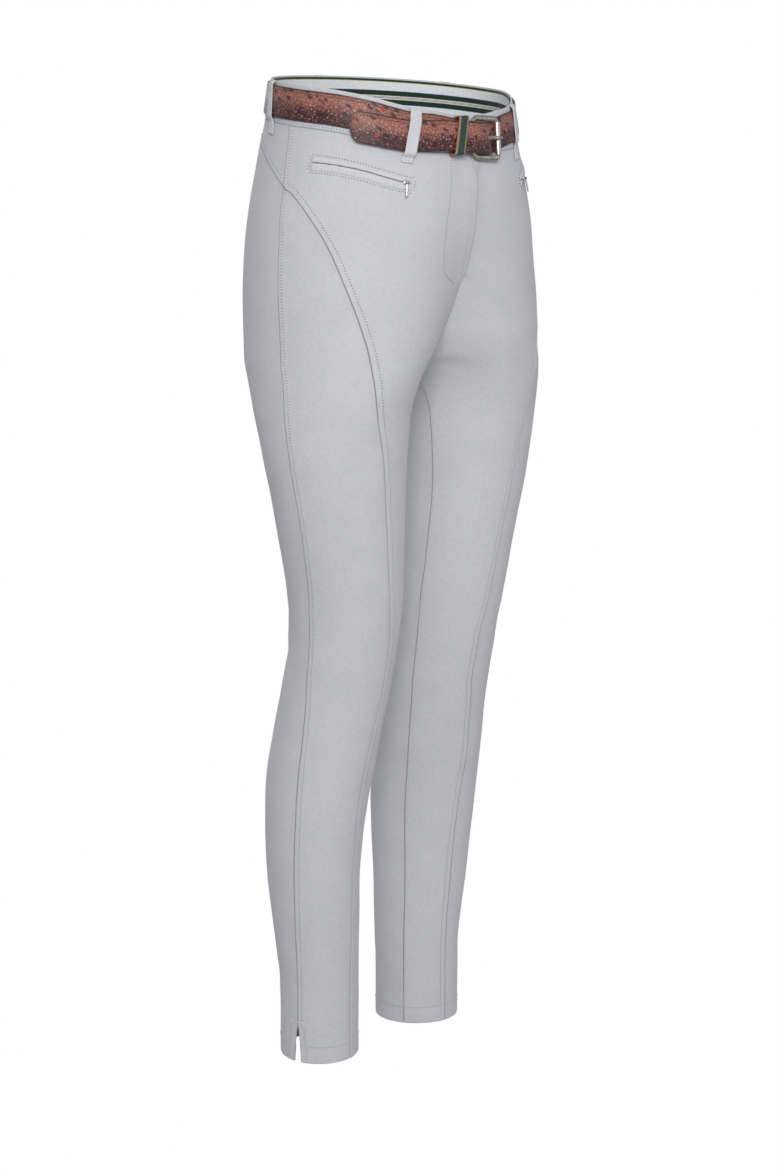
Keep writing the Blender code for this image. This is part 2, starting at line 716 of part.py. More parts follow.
def tube(name, centres, ups, half_up, half_across, material, group, sides=8, closed=False):
    """A bar of oval section along a line of points."""
    centres = [np.asarray(c, float) for c in centres]
    count = len(centres)
    verts = []
    for i, centre in enumerate(centres):
        before = centres[i - 1] if i or closed else centre
        after = centres[(i + 1) % count] if i < count - 1 or closed else centre
        ahead = (after - before) / np.linalg.norm(after - before)
        up = np.asarray(ups, float) - ahead * (np.asarray(ups, float) @ ahead)
        up = up / np.linalg.norm(up)
        across = np.cross(ahead, up)
        size = half_up[i] if isinstance(half_up, (list, tuple)) else half_up
        for k in range(sides):
            turn = 2 * math.pi * (k + 0.5) / sides
            verts.append(centre + up * size * math.cos(turn) + across * half_across * math.sin(turn))
    faces = []
    for i in range(count if closed else count - 1):
        low, high = i * sides, ((i + 1) % count) * sides
        for k in range(sides):
            faces.append([low + k, low + (k + 1) % sides, high + (k + 1) % sides, high + k])
    if not closed:
        faces.append(list(range(sides)))
        faces.append([(count - 1) * sides + k for k in range(sides)][::-1])
    thing = mesh_object(name, verts, faces, material, group)
    face_outward(thing)
    return thing


def ring_on(name, centre, axis, radial, inner, outer, width, material, group, sides=14):
    """A short tube with a bore, round an axis."""
    axis, radial = Vector(axis).normalized(), Vector(radial).normalized()
    other = axis.cross(radial).normalized()
    verts = []
    for place in (-0.5, 0.5):
        for radius in (inner, outer):
            for k in range(sides):
                turn = 2 * math.pi * k / sides
                spoke = radial * math.cos(turn) + other * math.sin(turn)
                verts.append(Vector(centre) + axis * width * place + spoke * radius)
    faces = []
    for k in range(sides):
        after = (k + 1) % sides
        a, b, c, d = (k + sides * i for i in range(4))
        e, f, g, h = (after + sides * i for i in range(4))
        faces += [[a, b, f, e], [c, g, h, d], [b, d, h, f], [a, e, g, c]]
    thing = mesh_object(name, verts, faces, material, group)
    face_outward(thing)
    return thing


def joined(thing, other):
    """Unites a second solid into a first, at mesh level."""
    union = thing.modifiers.new("join_" + other.name, "BOOLEAN")
    union.operation = "UNION"
    union.solver = "EXACT"
    union.object = other
    other.hide_render = True
    other.display_type = "WIRE"
    return thing


def buckle(frame_metal, roller_metal, group, cutters):
    """The buckle's frame, its roller and its prong, fastened."""
    heel = on_waist(HEEL_TURN, HEEL_LEVEL, np.float64(HEEL_OUT))
    far = on_waist(ROLLER_TURN, ROLLER_LEVEL, np.float64(ROLLER_OUT))
    _, up, away = waist_axes(353.0, (HEEL_LEVEL + ROLLER_LEVEL) / 2)
    up = up + away * FRAME_TILT
    along = far - heel
    up = up - along * (up @ along) / (along @ along)
    up = up / np.linalg.norm(up)
    length = np.linalg.norm(along)
    along = along / length
    corner = 0.0042
    path = []
    for cu, cv, start in ((1, 1, 0), (-1, 1, 90), (-1, -1, 180), (1, -1, 270)):
        for k in (0, 30, 60, 90):
            turn = math.radians(start + k)
            u = cu * (length / 2 - corner) + corner * math.cos(turn)
            v = cv * (FRAME_HALF_HEIGHT - corner) + corner * math.sin(turn)
            path.append((heel + far) / 2 + along * u + up * v)
    away = np.cross(along, up)
    tube("buckle_frame", path, away, BAR_RADIUS, BAR_RADIUS, frame_metal, group, sides=10, closed=True)
    roller = ring_on("buckle_roller", far, up, along, ROLLER_BORE, ROLLER_RADIUS, 0.0322, roller_metal, group)
    prong_places = (
        (359.5, 0.0060), (357.6, 0.0061), (355.8, 0.0062), (354.1, 0.0064), (352.9, 0.0070), (351.9, 0.0079),
        (350.8, 0.0092), (349.5, 0.0104), (347.6, 0.0113), (346.0, 0.0115), (344.8, 0.0112),
    )
    reach = [(t - HEEL_TURN) % 360 - 360 for t, _ in prong_places]
    levels = [HEEL_LEVEL + (ROLLER_LEVEL - HEEL_LEVEL) * r / (ROLLER_TURN - HEEL_TURN - 360) for r in reach]
    line = [on_waist(t, level, np.float64(o)) for (t, o), level in zip(prong_places, levels)]
    widths = [0.0019] * 8 + [0.0018, 0.0016, 0.0010]
    prong = tube("buckle_prong", line, up, widths, 0.0009, frame_metal, group, sides=8)
    eye = ring_on("prong_eye", heel, up, along, BAR_RADIUS + 0.0003, BAR_RADIUS + 0.0014, 0.0050, frame_metal,
                  cutters)
    joined(prong, eye)
    return roller


def pocket(tag, side, welt_cloth, metal, group, cutters):
    """The two welts, the slider and the pull of one pocket. Returns the pull's pin place and axis."""
    angles = np.linspace(WELT_FRONT, WELT_BACK, 11)[None, :]
    top, slit, foot = (through(WELT, i, angles) for i in (1, 2, 3))
    for name, head, tail in (("upper", top, slit + 0.0004), ("lower", slit - 0.0004, foot)):
        levels = head + (tail - head) * np.array([0.0, 0.5, 1.0])[:, None]
        out = np.broadcast_to(np.array([0.0003, 0.00055, 0.0003])[:, None], levels.shape)
        name = f"pocket_welt_{name}_{tag}"
        cloth(name, levels, np.broadcast_to(angles, levels.shape), side, 0.0010, welt_cloth, group, out, 1.0)
    place = (SLIDER_LEVEL, SLIDER_ANGLE, side)
    middle = on_skin(*place)
    out = outward(*place)
    along = on_skin(SLIDER_LEVEL, SLIDER_ANGLE + 0.5, side) - on_skin(SLIDER_LEVEL, SLIDER_ANGLE - 0.5, side)
    along = along - out * (along @ out)
    along = along / np.linalg.norm(along)
    up = np.cross(out, along)
    if up[2] < 0:
        up = -up
    matrix = placed(along, up, out, middle + out * 0.0015)
    slider = prism("zip_slider_" + tag, 4, 0.0036, 0.0032, 0.0024, matrix, group, metal)
    for k in (-1, 1):
        at = middle + out * 0.0039 + along * (0.0017 * k)
        lug = prism(f"lug_{tag}_{k + 1}", 8, 0.0005, 0.0012, 0.0032, placed(along, up, out, at), cutters)
        joined(slider, lug)
    pin_at = middle + out * PIN_OUT
    pin = prism("pin_" + tag, 10, PIN_RADIUS, PIN_RADIUS, 0.0034, placed(up, out, along, pin_at), cutters)
    joined(slider, pin)
    pull = ring_on("zip_pull_" + tag, pin_at * 0, along, up, PULL_BORE, PULL_EYE_RADIUS, 0.0018, metal, group)
    start = -up * (PULL_BORE + 0.0005)
    reach = [start + (-up) * (PULL_LENGTH * s) for s in (0.0, 0.12, 0.3, 0.85, 0.96, 1.0)]
    rod = tube("rod_" + tag, reach, along, [0.0008, 0.0011, PULL_RADIUS, PULL_RADIUS, 0.0011, 0.0006], 0.0008,
               metal, cutters, sides=10)
    rod.location = Vector(pin_at)
    pull.location = Vector(pin_at)
    joined(pull, rod)
    return pin_at, along


def main():
    """Builds every piece of the garment."""
    clear_scene()
    group = bpy.data.collections.new(OBJECT_NAME)
    cutters = bpy.data.collections.new("cutters")
    bpy.context.scene.collection.children.link(group)
    bpy.context.scene.collection.children.link(cutters)
    cutters.hide_render = True
    twill = (0.56, 0.57, 0.60)
    for tag, side in (("right", -1), ("left", 1)):
        front_panel(tag, side, principled(f"twill_front_{tag}", twill, 0.75, sheen=0.3), group)
        side_front_panel(tag, side, principled(f"twill_side_front_{tag}", twill, 0.75, sheen=0.3), group)
        back_panel(tag, side, principled(f"twill_back_{tag}", twill, 0.75, sheen=0.3), group)
        back_yoke(tag, side, principled(f"twill_back_yoke_{tag}", twill, 0.75, sheen=0.3), group)
        band_half(tag, side, principled(f"twill_waistband_{tag}", twill, 0.75, sheen=0.3), group)
        welt = principled(f"twill_welts_{tag}", twill, 0.75, sheen=0.3)
        metal = principled(f"zip_metal_{tag}", (0.62, 0.62, 0.63), 0.3, metallic=1.0)
        pin_at, axis = pocket(tag, side, welt, metal, group, cutters)
        print("zip pull", tag, "pin", np.round(pin_at, 5).tolist(), "axis", np.round(axis, 5).tolist())
    tape = principled("striped_tape", (0.62, 0.64, 0.66), 0.8)
    turns = np.linspace(1.6, 358.0, 57)
    levels = (BAND_TOP - 0.0006, 0.0, BAND_FOOT + 0.0006)
    round_waist("waistband_tape", turns, levels, -(BAND_WALL + TAPE_GAP), TAPE_WALL, tape, group)
    for name, top_turn, foot_turn, over_both in LOOPS:
        profile = LOOP_OVER_BOTH if over_both else LOOP_OVER_ONE
        material = principled("twill_" + name, twill, 0.75, sheen=0.3)
        loop_strip(name, top_turn, foot_turn, profile, material, group)
    leather = principled("patterned_leather", (0.30, 0.13, 0.07), 0.5)
    strap = strap_body(leather, group)
    pierce_strap(strap, cutters)
    keeper_ring(principled("green_leather", (0.03, 0.07, 0.05), 0.5), group)
    frame_metal = principled("buckle_metal", (0.45, 0.40, 0.32), 0.35, metallic=1.0)
    roller_metal = principled("roller_metal", (0.50, 0.46, 0.38), 0.35, metallic=1.0)
    buckle(frame_metal, roller_metal, group, cutters)
    for thing in group.objects:
        for solid in thing.modifiers:
            solid.show_render = True
            solid.show_viewport = True


main()
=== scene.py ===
"""Riding breeches in pale grey stretch twill, worn with a buckled leather belt.

Metres, +Z up, the front faces -Y and the wearer's left is +X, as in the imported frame. Every cloth piece
is a thin wall on one body surface, which is read by level (height from the waist's middle), angle (degrees
round a half section: 0 inner leg, 90 front, 180 outside, 270 back) and side (-1 right, 1 left).
"""

import logging
import math
from dataclasses import dataclass, field
from enum import Enum
from functools import partialmethod
from math import cos, sin
from typing import Iterable, Iterator, Sequence

import bmesh
import bpy
import numpy as np
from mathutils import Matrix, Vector


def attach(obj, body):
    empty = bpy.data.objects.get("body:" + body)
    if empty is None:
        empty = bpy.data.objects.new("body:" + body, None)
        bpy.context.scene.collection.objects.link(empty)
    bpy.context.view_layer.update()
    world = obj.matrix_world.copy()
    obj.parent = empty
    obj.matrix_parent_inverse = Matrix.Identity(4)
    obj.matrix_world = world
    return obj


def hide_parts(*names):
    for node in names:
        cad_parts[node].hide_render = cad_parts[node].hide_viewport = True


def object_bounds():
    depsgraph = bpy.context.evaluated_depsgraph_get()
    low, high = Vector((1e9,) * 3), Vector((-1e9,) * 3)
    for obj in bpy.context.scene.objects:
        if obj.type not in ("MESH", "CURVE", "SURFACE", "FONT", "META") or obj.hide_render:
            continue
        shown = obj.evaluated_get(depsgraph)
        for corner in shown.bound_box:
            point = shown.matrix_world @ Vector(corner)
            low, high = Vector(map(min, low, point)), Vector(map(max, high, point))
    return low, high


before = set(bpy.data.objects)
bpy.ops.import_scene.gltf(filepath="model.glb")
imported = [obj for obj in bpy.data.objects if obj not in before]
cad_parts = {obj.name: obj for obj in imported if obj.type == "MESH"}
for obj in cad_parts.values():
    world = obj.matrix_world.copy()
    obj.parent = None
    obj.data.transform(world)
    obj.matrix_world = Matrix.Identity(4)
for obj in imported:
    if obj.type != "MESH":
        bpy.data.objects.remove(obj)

Array = np.ndarray
Material = bpy.types.Material
Socket = bpy.types.NodeSocket
Thing = bpy.types.Object

log = logging.getLogger("breeches")

FIRST_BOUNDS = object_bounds()
GARMENT = "garment"

# The body surface, as the solids have it
BAND_TOP = 0.019
BAND_FOOT = -0.02
FRONT_DIP = 0.006
SEAM_GAP = 0.0003
HALF_GAP = SEAM_GAP / 2
CROTCH_LEVEL = -0.245
CROSSING_LEVEL = -0.0755
HEM_LEVEL = -0.975
SLIT_TOP = -0.935
SLIT_HALF_WIDTH = 0.0042
FRONT_HOLLOW = 0.008
BACK_HOLLOW = 0.003
FLY_RAISE = 0.0015
FLY_FOOT = -0.155
FLY_OVER = 0.003
FLY_UNDER = 0.006

PROFILE = np.array([  # level, centre x, centre y, half width, half depth, skew
    (0.025, 0.0, 0.0, 0.1365, 0.1045, 0.0),
    (0.0, 0.0, 0.0, 0.14, 0.1075, 0.0),
    (-0.02, 0.0, 0.0, 0.1435, 0.1105, 0.0),
    (-0.057, 0.006, 0.0, 0.146, 0.116, 0.0),
    (-0.097, 0.022, 0.001, 0.14, 0.115, 0.0),
    (-0.137, 0.042, 0.002, 0.1255, 0.1115, 0.0),
    (-0.177, 0.058, 0.0015, 0.1125, 0.1075, 0.0),
    (-0.203, 0.068, 0.001, 0.102, 0.105, 0.0),
    (-0.217, 0.073, 0.0, 0.0975, 0.103, 0.0),
    (-0.237, 0.0815, -0.001, 0.0897, 0.0985, 0.0),
    (-0.245, 0.0859, -0.002, 0.0857, 0.0965, 0.0),
    (-0.25, 0.0885, -0.003, 0.0833, 0.0947, 0.0),
    (-0.257, 0.0915, -0.0042, 0.0805, 0.0922, 0.0),
    (-0.272, 0.0957, -0.006, 0.0773, 0.0868, 0.0),
    (-0.297, 0.0985, -0.008, 0.0755, 0.079, 0.0),
    (-0.337, 0.0975, -0.0105, 0.0725, 0.0715, 0.0),
    (-0.377, 0.0945, -0.0115, 0.068, 0.0665, 0.0),
    (-0.417, 0.089, -0.0105, 0.064, 0.0635, 0.0),
    (-0.457, 0.084, -0.0095, 0.06, 0.0605, 0.0),
    (-0.497, 0.08, -0.007, 0.0565, 0.0585, 0.0),
    (-0.537, 0.0785, -0.001, 0.0545, 0.057, 0.005),
    (-0.577, 0.0785, 0.008, 0.0545, 0.058, 0.01),
    (-0.617, 0.08, 0.017, 0.054, 0.059, 0.02),
    (-0.657, 0.083, 0.0245, 0.0545, 0.059, 0.025),
    (-0.697, 0.085, 0.03, 0.0535, 0.057, 0.035),
    (-0.737, 0.085, 0.034, 0.052, 0.055, 0.05),
    (-0.777, 0.0845, 0.0355, 0.05, 0.052, 0.05),
    (-0.817, 0.0825, 0.0355, 0.048, 0.049, 0.045),
    (-0.857, 0.0795, 0.0355, 0.0455, 0.046, 0.045),
    (-0.897, 0.0775, 0.035, 0.0435, 0.0435, 0.045),
    (-0.98, 0.0775, 0.035, 0.043, 0.043, 0.045),
])
WAISTLINE = np.array([  # depth, height of the waistline there
    (-0.118, -0.0178), (-0.1, -0.0157), (-0.092, -0.0138), (-0.082, -0.0094), (-0.069, -0.0036),
    (-0.054, 0.0008), (-0.037, 0.0042), (0.0, 0.0085), (0.054, 0.0146), (0.118, 0.0212),
])
TILT = np.array([  # level, share of the waistline's shape
    (0.04, 1.0), (-0.02, 1.0), (-0.08, 0.8), (-0.16, 0.31), (-0.22, 0.0), (-1.0, 0.0),
])
SEAMS = np.array([  # level, inseam, style seam, side seam
    (0.02, 0.0, 184.5, 184.5),
    (-0.045, 0.0, 182.0, 182.0),
    (-0.0755, 0.0, 180.6, 180.6),
    (-0.0815, 0.0, 174.5, 180.2),
    (-0.104, 0.0, 161.2, 179.2),
    (-0.128, 0.0, 151.0, 178.2),
    (-0.154, 0.0, 143.0, 177.6),
    (-0.183, 0.0, 135.0, 177.2),
    (-0.214, 0.0, 127.2, 176.8),
    (-0.245, 0.0, 118.0, 176.2),
    (-0.27, 9.0, 110.0, 175.6),
    (-0.3, 14.0, 102.0, 175.0),
    (-0.34, 15.0, 94.5, 174.2),
    (-0.4, 14.5, 91.0, 173.2),
    (-0.46, 11.5, 89.5, 175.0),
    (-0.5, 9.0, 86.5, 177.0),
    (-0.54, 10.5, 82.5, 175.5),
    (-0.58, 13.5, 82.0, 170.5),
    (-0.62, 16.5, 86.5, 166.0),
    (-0.67, 18.0, 88.0, 162.0),
    (-0.72, 18.5, 86.0, 159.5),
    (-0.78, 20.0, 84.0, 160.0),
    (-0.85, 22.0, 85.5, 164.0),
    (-0.9, 22.0, 88.0, 167.0),
    (-0.98, 22.0, 88.0, 168.5),
])
YOKE_SEAM = np.array([  # angle, level
    (180.0, -0.0763), (191.0, -0.0632), (200.0, -0.053), (208.0, -0.0462), (222.0, -0.0425),
    (242.0, -0.0415), (272.0, -0.042),
])
POCKET = np.array([  # angle, top seam, slit, foot seam
    (121.0, -0.0478, -0.0522, -0.0592), (130.0, -0.0454, -0.0501, -0.0577), (140.0, -0.0452, -0.0496, -0.057),
    (152.0, -0.045, -0.0499, -0.0571), (168.0, -0.0449, -0.0509, -0.0581),
])

FELL = 0.0065          # style, yoke and centre seams: from the seam to its topstitching
SIDE_FELL = 0.0055     # side seam and inseam
HEM_DEPTH = 0.018
FLY_STITCH = 0.035
STITCH_LENGTH = 0.0017
STITCH_PITCH = 0.0029


class Side(Enum):
    """The wearer's two sides, with the sign of X there."""

    RIGHT = -1
    LEFT = 1

    @property
    def tag(self) -> str:
        """The word that node names end with."""
        return self.name.lower()


class Sewn(Enum):
    """How one edge of a panel is sewn."""

    PLAIN = "plain"        # pressed open
    FELLED = "felled"      # the allowance lies under this panel and is topstitched
    UNDER = "under"        # the neighbour carries the allowance
    HEMMED = "hemmed"      # folded up inside and stitched
    FREE = "free"          # a folded edge that stands open


class Seam(Enum):
    """Columns of the seam table."""

    INSEAM = 1
    STYLE = 2
    SIDE = 3


def through(table: Array, column: int, at: Array) -> Array:
    """Reads one column of a table as a monotone cubic.

    Args:
        table: Rows of numbers, with the reading position first.
        column: The column to read.
        at: Positions to read at.

    Returns:
        The values there.
    """
    order = np.argsort(table[:, 0])
    xs, ys = table[order, 0], table[order, column]
    step = np.diff(xs)
    rise = np.diff(ys) / step
    slope = np.concatenate([[rise[0]], np.zeros(len(xs) - 2), [rise[-1]]])
    for i in range(1, len(xs) - 1):
        if rise[i - 1] * rise[i] > 0:
            before, after = 2 * step[i] + step[i - 1], step[i] + 2 * step[i - 1]
            slope[i] = (before + after) / (before / rise[i - 1] + after / rise[i])
    at = np.asarray(at, float)
    k = np.clip(np.searchsorted(xs, at, side="right") - 1, 0, len(xs) - 2)
    t = (at - xs[k]) / step[k]
    return (
        (2 * t**3 - 3 * t**2 + 1) * ys[k]
        + (t**3 - 2 * t**2 + t) * step[k] * slope[k]
        + (3 * t**2 - 2 * t**3) * ys[k + 1]
        + (t**3 - t**2) * step[k] * slope[k + 1]
    )


def fade(low: float, high: float, value: Array) -> Array:
    """0 below low, 1 above high and smooth between."""
    t = np.clip((np.asarray(value, float) - low) / (high - low), 0, 1)
    return t * t * (3 - 2 * t)


def bell(value: Array, breadth: float) -> Array:
    """A smooth hump of height 1 round zero."""
    return np.exp(-((np.asarray(value, float) / breadth) ** 2))


def unit(vectors: Array) -> Array:
    """The vectors at length 1."""
    return vectors / np.maximum(np.linalg.norm(vectors, axis=-1, keepdims=True), 1e-12)


def run_length(points: Array, axis: int) -> Array:
    """Distance along a grid of points from its first row or column."""
    step = np.linalg.norm(np.diff(points, axis=axis), axis=-1)
    return np.concatenate([np.zeros_like(np.take(step, [0], axis)), np.cumsum(step, axis=axis)], axis=axis)


class BodySurface:
    """The filled-out form that all the cloth lies on."""

    def skin(self, level: Array, angle: Array, side: Array) -> Array:
        """Points of the surface. A point past the middle plane takes the depth of its mirror image.

        Args:
            level: Heights from the waist's middle, in metres.
            angle: Angles round a half section, in degrees.
            side: Which half, -1 or 1.

        Returns:
            The points.
        """
        level, angle, side = np.broadcast_arrays(np.asarray(level, float), np.asarray(angle, float), side)
        cx, cy, half_width, half_depth, skew = (through(PROFILE, i, level) for i in range(1, 6))
        turn = np.radians(angle)
        lean = 1 - skew * np.sin(2 * turn)
        x = cx - half_width * lean * np.cos(turn)
        y = cy - half_depth * lean * np.sin(turn)
        past = (x < 0) & (level > CROTCH_LEVEL)
        folded = np.arccos(np.clip((cx - np.abs(x)) / half_width, -1, 1))
        y = np.where(past, cy - half_depth * np.sin(folded) * np.sign(np.sin(turn)), y)
        middle = bell(x, 0.055) * fade(-0.3, -0.19, level)
        facing = np.sin(turn)
        y = y + middle * (FRONT_HOLLOW * np.maximum(facing, 0) + BACK_HOLLOW * np.minimum(facing, 0))
        return np.stack([side * x, y, level + through(TILT, 1, level) * through(WAISTLINE, 1, y)], axis=-1)

    def outward(self, level: Array, angle: Array, side: Array) -> Array:
        """Unit normals, away from the wearer.

        Args:
            level: Heights from the waist's middle, in metres.
            angle: Angles round a half section, in degrees.
            side: Which half, -1 or 1.

        Returns:
            The normals.
        """
        level, angle, side = np.broadcast_arrays(np.asarray(level, float), np.asarray(angle, float), side)
        up = self.skin(level + 0.0006, angle, side) - self.skin(level - 0.0006, angle, side)
        along = self.skin(level, angle + 0.3, side) - self.skin(level, angle - 0.3, side)
        return unit(np.cross(along, up) * side[..., None])

    def at(self, level: Array, angle: Array, side: Array, out: Array = 0.0) -> Array:
        """Points that stand a distance out from the surface."""
        out = np.asarray(out, float)
        return self.skin(level, angle, side) + self.outward(level, angle, side) * out[..., None]

    @staticmethod
    def around(turn: Array) -> tuple[Array, Array]:
        """Angle and side for a turn round the waist, which starts at the front middle toward the right.

        Args:
            turn: Turns from the front middle toward the right, in degrees.

        Returns:
            The angles and the sides.
        """
        turn = np.asarray(turn, float) % 360
        right = turn <= 180
        return np.where(right, 90 + turn, 450 - turn), np.where(right, -1, 1)

    def waist(self, turn: Array, level: Array, out: Array = 0.0) -> Array:
        """Points round the waist, out from the surface."""
        angle, side = self.around(turn)
        return self.at(level, angle, side, out)

    def waist_axes(self, turn: Array, level: Array) -> tuple[Array, Array, Array]:
        """Unit vectors at the waist: along the growing turn, up the cloth and outward.

        Args:
            turn: Turns round the waist, in degrees.
            level: Heights from the waist's middle, in metres.

        Returns:
            The three unit vectors.
        """
        turn, level = np.broadcast_arrays(np.asarray(turn, float), np.asarray(level, float))
        along = unit(self.waist(turn + 0.5, level) - self.waist(turn - 0.5, level))
        up = self.waist(turn, level + 0.002) - self.waist(turn, level - 0.002)
        up = unit(up - along * np.sum(up * along, axis=-1, keepdims=True))
        out = np.cross(along, up)
        middle = self.waist(turn, level)
        away = np.sign(np.sum(out[..., :2] * middle[..., :2], axis=-1, keepdims=True))
        return along, up, out * away

    @staticmethod
    def edge_angle(level: Array, edge_x: Array) -> Array:
        """The angle at which a half section reaches edge_x on the front."""
        reach = (through(PROFILE, 1, level) - edge_x) / through(PROFILE, 3, level)
        return np.degrees(np.arccos(np.clip(reach, -1, 1)))

    @staticmethod
    def offset(level: Array, seam: Seam, distance: float) -> Array:
        """A distance square to a seam, as an angle.

        Args:
            level: Heights from the waist's middle, in metres.
            seam: The seam to measure from.
            distance: The distance, positive toward growing angles.

        Returns:
            The angles.
        """
        run = (through(SEAMS, seam.value, level + 0.002) - through(SEAMS, seam.value, level - 0.002)) / 0.004
        radius = through(PROFILE, 3, level)
        aslant = np.sqrt(1 + (np.radians(run) * radius) ** 2)
        return np.degrees(distance / radius) * np.minimum(aslant, 4.0)

    def beside(self, level: Array, seam: Seam, distance: float) -> Array:
        """The angle of a line that runs beside a seam."""
        return through(SEAMS, seam.value, level) + self.offset(level, seam, distance)

    @staticmethod
    def shifted(level: Array, angle: Array, distance: float) -> tuple[Array, Array]:
        """Moves a line on the body square to itself, in metres.

        Args:
            level: Heights from the waist's middle, in metres.
            angle: Angles round a half section, in degrees.
            distance: Distances, in metres.

        Returns:
            The new heights and angles.
        """
        radius = through(PROFILE, 3, level)
        run, rise = np.gradient(np.radians(angle)) * radius, np.gradient(level)
        share = distance / np.hypot(run, rise)
        return level - run * share, angle + np.degrees(rise * share / radius)

    def front_start(self, level: Array, fly_edge: float) -> Array:
        """Where a front panel begins: the front middle above the crotch and the inseam below it.

        Args:
            level: Heights from the waist's middle, in metres.
            fly_edge: How far the fly's edge stands past the front middle.

        Returns:
            The angles.
        """
        overlap = fly_edge * fade(FLY_FOOT - 0.004, FLY_FOOT + 0.006,
                                  level) * (1 - fade(-0.046, -0.034, level))
        middle = self.edge_angle(level, HALF_GAP - overlap)
        return np.where(level > CROTCH_LEVEL, middle, self.beside(level, Seam.INSEAM, HALF_GAP))

    def back_end(self, level: Array) -> Array:
        """Where a back panel ends: the back middle above the crotch and the inseam below it.

        Args:
            level: Heights from the waist's middle, in metres.

        Returns:
            The angles.
        """
        middle = 360 - self.edge_angle(level, HALF_GAP)
        inseam = 360 + self.beside(level, Seam.INSEAM, -HALF_GAP)
        return np.where(level > CROTCH_LEVEL, middle, inseam)

    @staticmethod
    def slit(level: Array) -> Array:
        """How far each edge of the hem slit stands from the side seam, as an angle."""
        open_share = np.clip((SLIT_TOP - np.asarray(level, float)) / (SLIT_TOP - HEM_LEVEL), 0, 1)
        return np.degrees(SLIT_HALF_WIDTH / 0.043) * open_share**0.7


BODY = BodySurface()


@dataclass(frozen=True)
class Crease:
    """A soft trough in the cloth, with a lower ridge beside it."""

    level: float
    angle: float
    length: float
    breadth: float
    depth: float
    tilt: float
    bend: float = 0.0

    def height(self, level: Array, angle: Array) -> Array:
        """How far the cloth moves out at these places.

        Args:
            level: Heights from the waist's middle, in metres.
            angle: Angles round a half section, in degrees.

        Returns:
            The heights, in metres.
        """
        radius = float(through(PROFILE, 3, self.level))
        across = np.radians((angle - self.angle + 180) % 360 - 180) * radius
        rise = level - self.level
        tilt = math.radians(self.tilt)
        a = (across * cos(tilt) + rise * sin(tilt)) / (self.length / 2)
        b = rise * cos(tilt) - across * sin(tilt) - self.bend * self.length * a * a
        ends = np.exp(-(a**2) * (1 + 0.6 * a**2))
        return self.depth * ends * (0.55 * bell(b - 1.5 * self.breadth, self.breadth) - bell(b, self.breadth))


